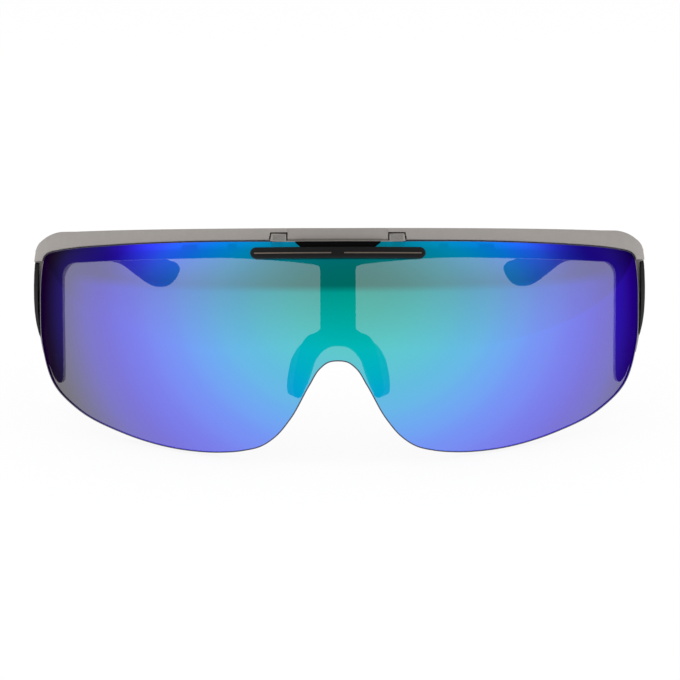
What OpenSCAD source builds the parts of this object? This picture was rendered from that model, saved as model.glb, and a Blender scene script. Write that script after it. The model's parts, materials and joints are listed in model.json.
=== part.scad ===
// Flip-up sport sunglasses: one mirrored shield lens on a small carrier that pivots
// at the brow, a one-piece front frame behind it, and two folding temples.
//
// The glasses are drawn as a wearer's level gaze sees them, +X to the wearer's left,
// +Y from the lens towards the ears, +Z up, with the lens's top edge at zero height
// and its foremost point at zero depth. The last step tilts them into the way they
// stand on a table, on the lower edge of the lens and on the two temple tips.

/* [Lens] */
// Width of the shield lens, side to side
lens_w = 142.8; // [136:0.2:148]
// Height of the shield lens at its deepest
lens_h = 47; // [42:0.5:52]
// How far the lens wraps back, from its foremost point to its side edges
lens_wrap = 39.75; // [34:0.25:42]
// Thickness of the lens
lens_t = 2; // [1.6:0.1:2.3]
// How far below the top edge the lens is widest
belly_drop = 14.2; // [12:0.2:17]

/* [Front frame] */
// Room between the lens and the frame wall behind it
lens_gap = 0.5; // [0.4:0.05:0.7]
// Thickness of the frame wall
frame_t = 2.5; // [2.2:0.1:3]
// Height of the brow above the lens at the middle
brow_h = 2.9; // [2.6:0.05:3.6]
// How much higher the brow is at its corners
brow_rise = 1.05; // [0.4:0.05:2]
// How far the brow's face stands in front of the lens's
brow_proud = 0.4; // [0.2:0.1:0.8]
// Gap between the brow and the lens's edge
brow_gap = 0.3; // [0.2:0.05:0.5]
// How far the side wall shows beyond the lens's side edge
side_show = 1.5; // [1.2:0.1:2]
// Width and drop of the frame's corners above the side wall
corner_w = 7; // [6:0.2:10]
corner_h = 5; // [4:0.2:7]
// How far down the top bar reaches behind the lens
bar_drop = 3.3; // [3:0.1:4.5]
// How much further down the top bar reaches at the middle
bar_sag = 2; // [1.5:0.1:3]
// Width of each side arm behind the lens
arm_w = 7.2; // [6.8:0.1:9]
// How far down each side arm reaches
arm_drop = 31.9; // [30:0.5:34]
// Width of the nose post
post_w = 7.2; // [6:0.2:8]
// How far down the nose post reaches
post_drop = 21; // [20:0.5:22]

/* [Nose saddle] */
// Width over the two nose pads
saddle_w = 23.4; // [21:0.2:26]
// How far below the lens's top edge the pads reach
saddle_drop = 34.3; // [33:0.1:36]
// How far the pads reach back from the frame wall's front
pad_depth = 11; // [9:0.5:13]
// How far each pad turns outwards towards the face
pad_splay = 16; // [10:1:22]

/* [Flip hinge] */
// Diameter of each flip pin
flip_pin_d = 0.6; // [0.5:0.05:0.7]
// Diameter of the carrier's knuckles
knuckle_d = 1.7; // [1.5:0.05:1.8]
// Width of each knuckle
knuckle_w = 3.25; // [2.5:0.25:4]
// Distance from the middle to each knuckle's inner face
knuckle_in = 11.35; // [10:0.05:12]
// Height of the flip axis above the lens's top edge
flip_up = 0.85; // [0.8:0.05:0.95]
// Depth of the flip axis behind the lens's foremost point
flip_back = 2.85; // [2.75:0.05:2.9]
// Width of the carrier's plate behind the lens
plate_w = 29; // [28.8:0.1:31]
// Thickness of the carrier's plate
plate_t = 1.4; // [1.2:0.1:1.5]

/* [Clip bar] */
// Length of the black bar on the front of the lens
clip_w = 38.8; // [36:0.2:44]
// Height of the bar
clip_h = 2.75; // [2.4:0.05:3.2]
// Thickness of the bar
clip_t = 1.2; // [1:0.1:1.4]
// How far below the lens's top edge the bar begins
clip_drop = 1.1; // [0.9:0.05:1.3]
// Width of the key above the bar at its top
key_w = 18.4; // [16:0.2:20]
// Length of each inlay strip
inlay_w = 16.4; // [12:0.2:17]
// Height of each inlay strip
inlay_h = 0.35; // [0.3:0.05:0.6]

/* [Temple hinge] */
// How far each fold axis lies inwards from the frame's side
fold_in = 4.5; // [4.1:0.1:4.9]
// How far it lies ahead of the rear end of the frame wall's front
fold_ahead = 0.15; // [0:0.05:0.6]
// How far below the lens's top edge each hinge sits
fold_drop = 10.5; // [9:0.5:12]
// How much the temples rise towards the ears
temple_rise = 5.5; // [4:0.5:7]
// Diameter of the hinge barrels
barrel_d = 2.6; // [2.4:0.1:2.8]
// Height of the three hinge barrels together
barrel_h = 6; // [5:0.5:7]
// Diameter of the hinge screws
hinge_screw_d = 1.2; // [1:0.1:1.4]
// Thickness of the hinge leaves
leaf_t = 0.9; // [0.8:0.1:1]
// Length of the leaf on the frame
frame_leaf_l = 5; // [4.5:0.25:5.5]
// Length of the leaf on the temple
temple_leaf_l = 7.5; // [7:0.5:9]

/* [Temples] */
// Length from the fold axis to the end of the tip
temple_l = 118; // [110:1:126]
// Height of the temple at its root
root_h = 26.6; // [24:0.2:28]
// Thickness of the temple at its root
root_t = 3.7; // [3.2:0.1:4.2]
// Thickness of the temple at its slim middle
slim_t = 2.8; // [2.4:0.1:3.2]
// Radius to which the temple's outer face is rounded from top to bottom
root_round = 62; // [50:2:90]
// Thickness of the black side insert
insert_t = 1; // [0.8:0.1:1.2]
// Thickness of the rubber tip
tip_t = 3.3; // [3:0.1:4]

/* [Small screws] */
// Diameter of the leaf and clip screws
screw_d = 1; // [0.9:0.05:1.1]
// Diameter of their heads
screw_head_d = 1.7; // [1.5:0.1:1.9]
// Height of their heads
screw_head_h = 0.5; // [0.4:0.05:0.6]

/* [Hidden] */

// Smoothness of round pieces and of the large spheres
$fn = 48;
sphere_fn = 240;
// Steps of a smooth curve between two of its points
curve_steps = 4;

// Overrun of cuts past the face they go through
over = 0.5;
// Radial play of a pin that turns
pin_play = 0.03;
// Play between hinge barrels, and between the frame's end and the temple's
barrel_play = 0.05;
butt_play = 0.15;

lens_hw = lens_w / 2;
frame_hw = lens_hw + side_show;

// Radii of the shells that the front is made of, all about one centre; the lens is
// curved alike both ways
lens_r = (pow(lens_hw, 2) + pow(lens_wrap, 2)) / (2 * lens_wrap);
lens_back_r = lens_r - lens_t;
wall_r = lens_back_r - lens_gap;
wall_back_r = wall_r - frame_t;
brow_r = lens_r + brow_proud;
clip_r = lens_r + clip_t;

reach = lens_r;

// Outline of half the lens, from the middle of its top edge round to the nose notch,
// as shares of half its width and of its height
lens_shares = [[0, 0], [0.49, 0.006], [0.84, -0.004], [0.93, -0.021], [0.974, -0.036],
    [0.991, -0.058], [0.998, -0.1], [1, -0.17], [1, -0.26], [0.992, -0.5],
    [0.951, -0.687], [0.867, -0.804],
    [0.705, -0.915], [0.478, -0.994], [0.371, -1], [0.3, -0.99], [0.24, -0.966],
    [0.195, -0.92], [0.148, -0.836], [0.087, -0.674], [0.055, -0.598],
    [0.03, -0.569], [0, -0.562]];

// Outline of a side arm below the frame's corner, from its outer edge round its rounded
// end and up its inner edge, as shares of the arm's width and drop
arm_shares = [[0, -0.31], [0.05, -0.56], [0.2, -0.75], [0.4, -0.885], [0.6, -0.97],
    [0.78, -1], [0.92, -0.98], [0.97, -0.93], [1, -0.83], [1.02, -0.39]];

// Outline of half the nose saddle, from the post down the outer edge of the pad and
// back up the inner arch, as shares of half its width and of its drop
saddle_shares = [[0.3, -0.475], [0.32, -0.556], [0.42, -0.583], [0.56, -0.602],
    [0.67, -0.645], [0.75, -0.73], [0.81, -0.84], [0.84, -0.92], [0.83, -0.965],
    [0.78, -0.995], [0.72, -0.99], [0.64, -0.945], [0.51, -0.845],
    [0.39, -0.746], [0.28, -0.703], [0.13, -0.676], [0, -0.673]];

// Outline of a nose pad, the same way, round the lower part of the saddle's leg
pad_shares = [[0.5, -0.74], [0.57, -0.7], [0.65, -0.72], [0.72, -0.78], [0.785, -0.855],
    [0.825, -0.925], [0.82, -0.965], [0.78, -0.995], [0.72, -0.99], [0.64, -0.945],
    [0.51, -0.845], [0.46, -0.78]];

// Plan of the temple's middle line: share of its length, and share of its length by
// which it runs outside (+) or inside (-) of its place at the hinge
plan_shares = [[-0.02, 0], [0.1, 0.0025], [0.21, 0.0025], [0.34, -0.004], [0.46, -0.018],
    [0.59, -0.041], [0.71, -0.068], [0.81, -0.095], [0.9, -0.131], [0.96, -0.161],
    [1, -0.182]];

// Side view of the temple: share of its length, and height of its top and bottom edge
// above the hinge as shares of the root's height
top_shares = [[-0.02, 0.45], [0.08, 0.455], [0.2, 0.473], [0.34, 0.494], [0.46, 0.481],
    [0.59, 0.457], [0.7, 0.422]];
bottom_shares = [[-0.02, -0.55], [0.03, -0.536], [0.065, -0.466], [0.12, -0.27],
    [0.17, -0.083], [0.23, 0.09], [0.305, 0.18], [0.38, 0.207], [0.46, 0.214],
    [0.59, 0.188], [0.7, 0.13]];

// Rubber tip in side view, the same way, round its paddle end
tip_top_shares = [[0.69, 0.434], [0.75, 0.41], [0.82, 0.325], [0.9, 0.185], [0.96, 0.083],
    [0.99, 0.04], [1, -0.02]];
tip_end_shares = [[0.996, -0.075], [0.984, -0.137], [0.967, -0.187], [0.946, -0.214],
    [0.925, -0.207]];
tip_bottom_shares = [[0.9, -0.172], [0.85, -0.075], [0.78, 0.052], [0.73, 0.108],
    [0.69, 0.13]];

// Tongue of the arm inside the rubber tip, the same way
tongue_shares = [[0.68, 0.36], [0.76, 0.3], [0.83, 0.2], [0.9, 0.07], [0.9, -0.06],
    [0.83, 0.06], [0.76, 0.19], [0.68, 0.23]];

// Black insert in side view, the same way, round its pointed outline
insert_shares = [[0.004, -0.42], [0.004, 0.28], [0.03, 0.31], [0.12, 0.33],
    [0.25, 0.346], [0.36, 0.35], [0.43, 0.34], [0.36, 0.29], [0.28, 0.225],
    [0.2, 0.085], [0.14, -0.1], [0.09, -0.27], [0.05, -0.39], [0.02, -0.44]];

// A smooth curve through points, with each span as long as its chord
function chord(a, b) = norm(b - a);
function unit_to(a, b) = (b - a) / chord(a, b);
function lean(a, b, c) =
    (unit_to(a, b) * chord(b, c) + unit_to(b, c) * chord(a, b)) / (chord(a, b) + chord(b, c));
function span_at(a, b, ma, mb, t) =
    (2 * pow(t, 3) - 3 * pow(t, 2) + 1) * a + (pow(t, 3) - 2 * pow(t, 2) + t) * ma
    + (3 * pow(t, 2) - 2 * pow(t, 3)) * b + (pow(t, 3) - pow(t, 2)) * mb;
function ring(p, steps = curve_steps) = let (n = len(p))
    [for (i = [0 : n - 1]) let (
        a = p[(i + n - 1) % n], b = p[i], c = p[(i + 1) % n], d = p[(i + 2) % n],
        mb = lean(a, b, c) * chord(b, c), mc = lean(b, c, d) * chord(b, c))
        for (j = [0 : steps - 1]) span_at(b, c, mb, mc, j / steps)];
function curve(p, steps = curve_steps) = let (n = len(p)) concat(
    [for (i = [0 : n - 2]) let (
        b = p[i], c = p[i + 1],
        mb = (i == 0 ? unit_to(b, c) : lean(p[i - 1], b, c)) * chord(b, c),
        mc = (i == n - 2 ? unit_to(b, c) : lean(b, c, p[i + 2])) * chord(b, c))
        for (j = [0 : steps - 1]) span_at(b, c, mb, mc, j / steps)],
    [p[n - 1]]);

function sized(shares, w, h) = [for (s = shares) [s.x * w, s.y * h]];
function backwards(p) = [for (i = [len(p) - 1 : -1 : 0]) p[i]];
function flipped(p) = [for (i = [len(p) - 1 : -1 : 0]) [-p[i].x, p[i].y]];
function inner_part(p) = [for (i = [1 : len(p) - 2]) p[i]];

// An outline drawn clockwise, grown outwards by a distance
function grown(p, d) = let (n = len(p)) [for (i = [0 : n - 1]) let (
    along = unit_to(p[(i + n - 1) % n], p[(i + 1) % n]))
    p[i] + d * [-along.y, along.x]];

// Depth of a shell's surface at a place in the front view
function shell_y(r, p) = lens_r - sqrt(pow(r, 2) - pow(p.x, 2) - pow(p.y + belly_drop, 2));

lens_half = sized(lens_shares, lens_hw, lens_h);
lens_edge = ring(concat(lens_half, flipped(inner_part(lens_half))));

// Front view of the frame, top edge first
corner_x = frame_hw - corner_w;
brow_top = [for (i = [0 : 6]) let (x = corner_x * i / 6)
    [x, brow_h + brow_rise * pow(x / corner_x, 2)]];
corner_low = brow_h + brow_rise - corner_h;
corner_arc = [for (a = [15 : 15 : 90])
    [corner_x + corner_w * sin(a), corner_low + corner_h * cos(a)]];
arm_edge = curve([for (s = arm_shares) [frame_hw - s.x * arm_w, s.y * arm_drop]]);
arm_in = frame_hw - arm_w;
fillet_r = 0.45 * arm_w;
arm_fillet = [for (a = [0 : 15 : 90])
    [arm_in - fillet_r + fillet_r * cos(a), -bar_drop - fillet_r + fillet_r * sin(a)]];
sag_x = 0.4 * lens_hw;
bar_low = [for (i = [4 : -1 : 0]) let (x = post_w / 2 + (sag_x - post_w / 2) * i / 4)
    [x, -bar_drop - bar_sag * pow(1 - x / sag_x, 2)]];
post_fillet_r = 0.12 * post_w;
post_top = bar_low[4].y;
post_fillet = [for (a = [90 : -30 : 0]) [post_w / 2 + post_fillet_r * (1 - cos(a)),
    post_top - post_fillet_r * (1 - sin(a))]];
post_edge = [[post_w / 2, -post_drop]];
frame_half = concat(brow_top, corner_arc, arm_edge, arm_fillet,
    [for (i = [0 : 3]) bar_low[i]], post_fillet, post_edge);
frame_edge = concat(frame_half, flipped([for (i = [1 : len(frame_half) - 1]) frame_half[i]]));

// Flip hinge, clip and carrier
knuckle_r = knuckle_d / 2;
lip_up = 0;
lip_play = 0.15;
lip_t = 0.3;
flip_turn_r = flip_up - lip_up - lip_play;
notch_play = 0.3;
notch_side_play = 0.3;
plate_low = clip_drop + clip_h - over / 4;
plate_play = 0.4;
plate_swing = 0.6;
clip_mid = -clip_drop - clip_h / 2;
clip_screw_x = 0.4 * plate_w;
hole_play = 0.1;
key_low_share = 0.84;
inlay_t = 0.4;
inlay_proud = 0.05;
inlay_in = (clip_w / 2 - inlay_w) * 0.6;

// Temple hinge and temples, in their own frame: X outwards, Y along the temple from the
// fold axis, Z along the axis from the middle of the barrels
fold_x = frame_hw - fold_in;
fold_back = shell_y(wall_r, [frame_hw, -fold_drop]) - fold_ahead;
barrel_r = barrel_d / 2;
leaf_h = barrel_h;
root_in = fold_x + barrel_r + butt_play * 2 + barrel_play * 4;
root_mid = root_in + root_t / 2;
boss_x = fold_x - barrel_r + leaf_t;
frame_end = -4 * butt_play;
temple_start = frame_end + butt_play;
temple_screw_shares = [0.4, 0.8];
frame_screw_share = 0.6;
frame_screw_up = 0.27 * leaf_h;
frame_screw_l = 1.6 * screw_d;
temple_screw_l = 2.4 * screw_d;
tongue_t = 0.4 * tip_t;
tip_start_share = 0.7;
slim_start_share = 0.45;

plan_line = curve([for (s = plan_shares) [root_mid + s.y * temple_l, s.x * temple_l]]);
function thick_at(u) = let (s = min(max(u / temple_l, 0) / slim_start_share, 1))
    root_t + (slim_t - root_t) * (3 - 2 * s) * s * s;
// A band along the temple's middle line, between two offsets outwards from it, each a
// fixed distance plus a share of the temple's thickness there
function band_side(off, share) = [for (i = [0 : len(plan_line) - 1]) let (
    a = plan_line[max(i - 1, 0)], b = plan_line[min(i + 1, len(plan_line) - 1)],
    along = unit_to(a, b), p = plan_line[i])
    p + (off + share * thick_at(p.y)) * [along.y, -along.x]];
function band(off_in, share_in, off_out, share_out) =
    concat(band_side(off_in, share_in), backwards(band_side(off_out, share_out)));

temple_side = concat(curve(sized(top_shares, temple_l, root_h)),
    backwards(curve(sized(bottom_shares, temple_l, root_h))));
tip_side = curve(sized(concat(tip_top_shares, tip_end_shares, tip_bottom_shares),
    temple_l, root_h));
insert_side = ring(sized(insert_shares, temple_l, root_h), 2);
tongue_side = sized(tongue_shares, temple_l, root_h);

// From the temple's frame to the wearer's, as depth and height
function from_temple(p) = [fold_back + p.x * cos(temple_rise) - p.y * sin(temple_rise),
    -fold_drop + p.x * sin(temple_rise) + p.y * cos(temple_rise)];

// The tilt at which the lens's lower edge and the temple tips touch the table together
function height_of(p, tilt) = p.y * cos(tilt) - p.x * sin(tilt);
function depth_of(p, tilt) = p.x * cos(tilt) + p.y * sin(tilt);
function lowest(points, tilt) = let (
    low = min([for (p = points) height_of(p, tilt)]))
    [for (p = points) if (height_of(p, tilt) == low) p][0];
lens_rim_back = [for (p = lens_edge) [shell_y(lens_back_r, p), p.y]];
lens_rim_front = [for (p = lens_edge) [shell_y(lens_r, p), p.y]];
tip_rim = [for (p = tip_side) from_temple(p)];
function settled(tilt, turns) = let (a = lowest(lens_rim_back, tilt), b = lowest(tip_rim, tilt))
    turns == 0 ? tilt : settled(atan2(b.y - a.y, b.x - a.x), turns - 1);
first_tilt = 15;
stand_tilt = settled(first_tilt, 8);
table_z = height_of(lowest(lens_rim_back, stand_tilt), stand_tilt);
front_y = min([for (p = lens_rim_front) depth_of(p, stand_tilt)]);
back_y = max([for (p = tip_rim) depth_of(p, stand_tilt)]);

module stand() {
    translate([0, -(front_y + back_y) / 2, -table_z]) rotate([-stand_tilt, 0, 0]) children();
}

// A piece of the wearer's left or right side, drawn on the left
module on_side(side) {
    if (side == "left") children();
    else mirror([1, 0, 0]) children();
}

module both_sides() {
    children();
    mirror([1, 0, 0]) children();
}

module at_fold() {
    translate([0, fold_back, -fold_drop]) rotate([temple_rise, 0, 0]) children();
}

// A ball about the centre that all the front's shells share
module ball(r) {
    translate([0, lens_r, -belly_drop]) sphere(r = r, $fn = sphere_fn);
}

// What lies between two such balls, within a front-view outline
module shell_piece(outer_r, inner_r, outline) {
    difference() {
        intersection() {
            ball(outer_r);
            front_prism(outline);
        }
        ball(inner_r);
    }
}

// An outline of the front view, carried right through the front
module front_prism(outline) {
    translate([0, lens_r, 0]) rotate([90, 0, 0])
        linear_extrude(height = lens_r + reach / 4) polygon(outline);
}

// A front-view rectangle about the middle plane
function slab(x0, x1, z0, z1) = [[x0, z1], [x1, z1], [x1, z0], [x0, z0]];

// A cylinder along X between two places
module along_x(r, x0, x1) {
    translate([x0, 0, 0]) rotate([0, 90, 0]) cylinder(r = r, h = x1 - x0);
}

module at_flip() {
    translate([0, flip_back, flip_up]) children();
}

module front_frame() {
    color("#9c9994") stand() difference() {
        union() {
            shell_piece(wall_r, wall_back_r, frame_edge);
            brow();
            both_sides() hinge_boss();
        }
        both_sides() at_fold() translate([0, frame_end, -reach / 2])
            cube([frame_hw * 2, reach, reach]);
        flip_recess();
        carrier_pocket();
        both_sides() flip_notch();
        both_sides() at_flip() along_x(flip_pin_d / 2, pin_x0, pin_x1);
        both_sides() at_fold() leaf_seat();
        both_sides() frame_screw_holes(boss_x - over, boss_x + frame_screw_l);
        both_sides() bumper_shape(wall_r + over);
    }
}

// The brow's band above and beside the lens
module brow() {
    difference() {
        intersection() {
            shell_piece(brow_r, wall_back_r, frame_edge);
            front_prism(slab(-frame_hw - over, frame_hw + over, -brow_end, frame_hw));
        }
        front_prism(grown(lens_edge, brow_gap));
    }
}
brow_end = 1.3 * corner_h;

// A pad inside the frame's corner that carries the hinge leaf
module hinge_boss() {
    intersection() {
        ball(wall_r);
        at_fold() translate([boss_x, -frame_leaf_l - barrel_r, -leaf_h / 2 - boss_margin])
            cube([frame_hw - boss_x, frame_leaf_l - butt_play, leaf_h + 2 * boss_margin]);
    }
}
boss_margin = 0.8;

// The seat of the frame leaf in the wall, with a groove for the barrels
module leaf_seat() {
    translate([boss_x - leaf_h, -frame_leaf_l - barrel_r, -leaf_h / 2])
        cube([leaf_h, frame_leaf_l + barrel_r, leaf_h]);
    translate([fold_x, 0, -barrel_h / 2 - butt_play])
        cylinder(r = barrel_r + barrel_play, h = barrel_h + screw_head_h + 2 * butt_play);
}

// Between the knuckles the brow is set back and round underneath, so that the lens's
// top edge turns past it
module flip_recess() {
    half = knuckle_in - notch_side_play;
    difference() {
        translate([-half, -over - clip_t, -over])
            cube([half * 2, flip_back + over + clip_t, brow_h + brow_rise + over]);
        translate([-half - over, flip_back - flip_turn_r, flip_up])
            cube([half * 2 + 2 * over, flip_turn_r + over, brow_h + brow_rise]);
        at_flip() along_x(flip_turn_r, -half - over, half + over);
    }
}

// A slot in the brow for each knuckle, open in front and below
module flip_notch() {
    x0 = knuckle_in - notch_side_play;
    x1 = knuckle_in + knuckle_w + notch_side_play;
    notch_r = knuckle_r + notch_play;
    at_flip() along_x(notch_r, x0, x1);
    translate([0, flip_back, 0]) rotate([90, 0, 0]) linear_extrude(height = flip_back + over)
        polygon([[x0, -over], [x1 + notch_slant, -over], [x1, flip_up + notch_r],
            [x0, flip_up + notch_r]]);
    translate([x0, 0, -over]) cube([x1 - x0, flip_back + notch_r, flip_up + over]);
}
notch_slant = 0.6;
pin_seat = 0.6;
pin_x0 = knuckle_in - notch_side_play - pin_seat;
pin_x1 = knuckle_in + knuckle_w + notch_side_play + pin_seat;

// The space in the top bar for the carrier's plate, with room for it to swing out
module carrier_pocket() {
    half = plate_w / 2 + notch_side_play;
    shell_piece(wall_r + lens_gap / 2, lens_back_r - plate_t - plate_play,
        slab(-half, half, -plate_low - plate_swing, brow_gap));
}

// Where the frame leaf's screws go, one above the other
module at_frame_screws() {
    at_fold() for (z = [-frame_screw_up, frame_screw_up])
        translate([0, -barrel_r - frame_screw_share * frame_leaf_l, z]) children();
}

module frame_screw_holes(x0, x1) {
    at_frame_screws() along_x(screw_d / 2, x0, x1);
}

module nose_saddle() {
    half = sized(saddle_shares, saddle_w / 2, saddle_drop);
    outline = concat(half, flipped([for (i = [0 : len(half) - 2]) half[i]]));
    color("#2b2d2f") stand() difference() {
        union() {
            shell_piece(wall_r, wall_back_r - saddle_back, ring(outline, 2));
            both_sides() nose_pad();
        }
        shell_piece(wall_r + over, wall_back_r, slab(-post_w / 2, post_w / 2, -post_drop, 0));
    }
}
saddle_back = frame_t / 2;

// A pad that turns outwards from the saddle's leg towards the face
module nose_pad() {
    x = saddle_w / 2 * pad_shares[4].x;
    y = shell_y(wall_back_r, [x, -saddle_drop * 0.8]);
    intersection() {
        translate([x, y, 0]) rotate([0, 0, -pad_splay]) translate([-x, pad_depth * 2 - y, 0])
            rotate([90, 0, 0]) linear_extrude(height = pad_depth * 2)
            polygon(ring(sized(pad_shares, saddle_w / 2, saddle_drop), 2));
        translate([0, y - frame_t / 2, -saddle_drop * 1.5])
            cube([saddle_w, pad_depth - frame_t, saddle_drop * 1.5]);
    }
}

// Soft stops that the closed lens rests near, one low on each side arm
module bumper_shape(outer_r) {
    shell_piece(outer_r, wall_r - bumper_t, slab(arm_in + arm_w * 0.2, arm_in + arm_w * 0.5,
        -arm_drop * 0.9, -arm_drop * 0.78));
}
bumper_t = 1;

module lens_bumpers() {
    color("#26282a") stand() both_sides() bumper_shape(lens_back_r - lens_gap / 4);
}

module flip_pins() {
    color("#b9babb") stand() both_sides() at_flip() along_x(flip_pin_d / 2, pin_x0, pin_x1);
}

module shield_lens() {
    half = plate_w / 2 + over / 4;
    color("#3fa9c9") stand() difference() {
        shell_piece(lens_r, lens_back_r, lens_edge);
        front_prism(slab(-half, half, -lip_t + lip_up, brow_gap + over));
        both_sides() translate([clip_screw_x, 0, clip_mid]) rotate([-90, 0, 0])
            cylinder(d = screw_d + 2 * hole_play, h = lens_t * 4);
    }
}

module lens_carrier() {
    half = plate_w / 2;
    color("#a3a09b") stand() difference() {
        union() {
            shell_piece(lens_back_r, lens_back_r - plate_t, slab(-half, half, -plate_low, lip_up));
            shell_piece(lens_r, lens_back_r - plate_t, slab(-half, half, -lip_t + lip_up, lip_up));
            both_sides() carrier_knuckle();
        }
        both_sides() at_flip()
            along_x(flip_pin_d / 2 + pin_play, knuckle_in - over, knuckle_in + knuckle_w + over);
        both_sides() clip_screw(hole = true);
    }
}

// A knuckle and the web that joins it to the lip
module carrier_knuckle() {
    at_flip() along_x(knuckle_r, knuckle_in, knuckle_in + knuckle_w);
    translate([knuckle_in, flip_back - knuckle_r, -lip_t + lip_up])
        cube([knuckle_w, knuckle_d, flip_up + lip_t - lip_up]);
}

// A screw from behind the carrier through the lens into the bar
module clip_screw(hole = false) {
    back = shell_y(lens_back_r - plate_t, [clip_screw_x, clip_mid]);
    head = hole ? screw_head_h + over : screw_head_h - barrel_play;
    translate([clip_screw_x, back - screw_head_h, clip_mid]) rotate([-90, 0, 0])
        cylinder(d = screw_head_d, h = head);
    translate([clip_screw_x, back - screw_head_h - clip_screw_l, clip_mid]) rotate([-90, 0, 0])
        cylinder(d = screw_d, h = clip_screw_l + (hole ? over : barrel_play));
}
clip_screw_l = plate_t - screw_head_h + lens_t + clip_t * 0.6;

module clip_screws() {
    color("#b4b5b6") stand() both_sides() clip_screw();
}

// The bar across the top of the lens, with rounded ends and a key above its middle
module clip_bar() {
    r = clip_h / 2;
    bar = concat(
        [for (a = [90 : -15 : -90]) [clip_w / 2 - r + r * cos(a), clip_mid + r * sin(a)]],
        [for (a = [-90 : -15 : -270]) [-clip_w / 2 + r + r * cos(a), clip_mid + r * sin(a)]]);
    key = [[-key_w / 2, lip_up - lip_t / 2], [key_w / 2, lip_up - lip_t / 2],
        [key_w / 2 * key_low_share, -clip_drop - over], [-key_w / 2 * key_low_share, -clip_drop - over]];
    color("#17181a") stand() difference() {
        union() {
            shell_piece(clip_r, lens_r, bar);
            shell_piece(clip_r - clip_t / 6, lens_r, key);
        }
        both_sides() shell_piece(clip_r + over, clip_r - inlay_t, inlay_edge());
        both_sides() clip_screw(hole = true);
    }
}

function inlay_edge() = slab(inlay_in, inlay_in + inlay_w, clip_mid - inlay_h / 2,
    clip_mid + inlay_h / 2);

module inlay(side) {
    color("#a9a8a6") stand() on_side(side)
        shell_piece(clip_r + inlay_proud, clip_r - inlay_t, inlay_edge());
}

// Barrels and leaf on the frame: the upper and the lower barrel
module hinge_leaf_frame(side) {
    color("#8f9192") stand() on_side(side) difference() {
        at_fold() difference() {
            union() {
                for (z = [-barrel_h / 2, barrel_h / 6 + barrel_play])
                    translate([fold_x, 0, z]) {
                        cylinder(r = barrel_r, h = barrel_h / 3 - barrel_play);
                        translate([-barrel_r, -barrel_r - over, 0])
                            cube([leaf_t, barrel_r + over, barrel_h / 3 - barrel_play]);
                    }
                translate([fold_x - barrel_r, -barrel_r - frame_leaf_l, -leaf_h / 2])
                    cube([leaf_t, frame_leaf_l - butt_play, leaf_h]);
            }
            translate([fold_x, 0, -barrel_h]) cylinder(d = hinge_screw_d, h = 2 * barrel_h);
        }
        frame_screw_holes(fold_x - barrel_r - over, boss_x + over);
    }
}

// Barrel and leaf on the temple: the middle barrel
module hinge_leaf_temple(side) {
    mid_h = barrel_h / 3 - 2 * barrel_play;
    color("#8f9192") stand() on_side(side) at_fold() difference() {
        union() {
            translate([fold_x, 0, -mid_h / 2]) cylinder(r = barrel_r, h = mid_h);
            translate([fold_x, 0, -mid_h / 2]) cube([root_in - fold_x, barrel_d, mid_h]);
            translate([root_in - leaf_t, barrel_r + butt_play, -leaf_h / 2])
                cube([leaf_t, temple_leaf_l, leaf_h]);
        }
        translate([fold_x, 0, -barrel_h])
            cylinder(r = hinge_screw_d / 2 + pin_play, h = 2 * barrel_h);
        temple_screw_holes(root_in - leaf_t - over, root_in + over);
    }
}

module temple_screw_holes(x0, x1) {
    for (s = temple_screw_shares)
        translate([0, barrel_r + butt_play + s * temple_leaf_l, 0])
            along_x(screw_d / 2, x0, x1);
}

// The screw that both leaves turn on, with a slotted head on the upper barrel
module hinge_screw(side) {
    head_d = barrel_d * 0.85;
    head_h = screw_head_h;
    color("#b4b5b6") stand() on_side(side) at_fold() translate([fold_x, 0, -barrel_h / 2])
        difference() {
            union() {
                cylinder(d = hinge_screw_d, h = barrel_h);
                translate([0, 0, barrel_h]) cylinder(d = head_d, h = head_h);
            }
            translate([-head_d, -screw_head_h / 4, barrel_h + head_h / 2])
                cube([2 * head_d, screw_head_h / 2, head_h]);
        }
}

// A small screw with a slot, seated on a leaf's face, with its head inwards
module leaf_screw(l) {
    difference() {
        union() {
            along_x(screw_d / 2, -leaf_t, l);
            along_x(screw_head_d / 2, -leaf_t - screw_head_h, -leaf_t);
        }
        translate([-leaf_t - screw_head_h - over, -screw_head_d, -screw_head_h / 4])
            cube([over + screw_head_h / 2, screw_head_d * 2, screw_head_h / 2]);
    }
}

module frame_leaf_screws() {
    color("#b4b5b6") stand() both_sides() at_frame_screws()
        translate([boss_x, 0, 0]) leaf_screw(frame_screw_l);
}

module temple_leaf_screws(side) {
    color("#b4b5b6") stand() on_side(side) at_fold() for (s = temple_screw_shares)
        translate([root_in, barrel_r + butt_play + s * temple_leaf_l, 0])
            leaf_screw(temple_screw_l);
}

// A plan band along the temple, and a side-view outline, each carried right through
module plan_prism(outline) {
    translate([0, 0, -root_h]) linear_extrude(height = 2 * root_h) polygon(outline);
}

module side_prism(outline) {
    rotate([90, 0, 90]) linear_extrude(height = frame_hw * 2) polygon(outline);
}

module between(u0, u1) {
    translate([0, u0, -root_h]) cube([frame_hw * 2, u1 - u0, 2 * root_h]);
}

module temple_arm(side) {
    color("#9c9994") stand() on_side(side) at_fold() difference() {
        union() {
            intersection() {
                plan_prism(band(0, -0.5, 0, 0.5));
                side_prism(temple_side);
                between(temple_start, tip_start_share * temple_l);
                outer_round();
            }
            temple_tongue();
        }
        insert_shape(over);
        temple_screw_holes(root_in - over, root_in + temple_screw_l);
    }
}

// The temple's outer face, rounded from top to bottom
module outer_round() {
    translate([root_in + root_t + root_crown - root_round, -temple_l / 2, root_mid_w])
        rotate([-90, 0, 0]) cylinder(r = root_round, h = temple_l * 2, $fn = sphere_fn);
}
root_crown = 0.0025 * temple_l;
root_mid_w = -0.04 * root_h;

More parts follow.
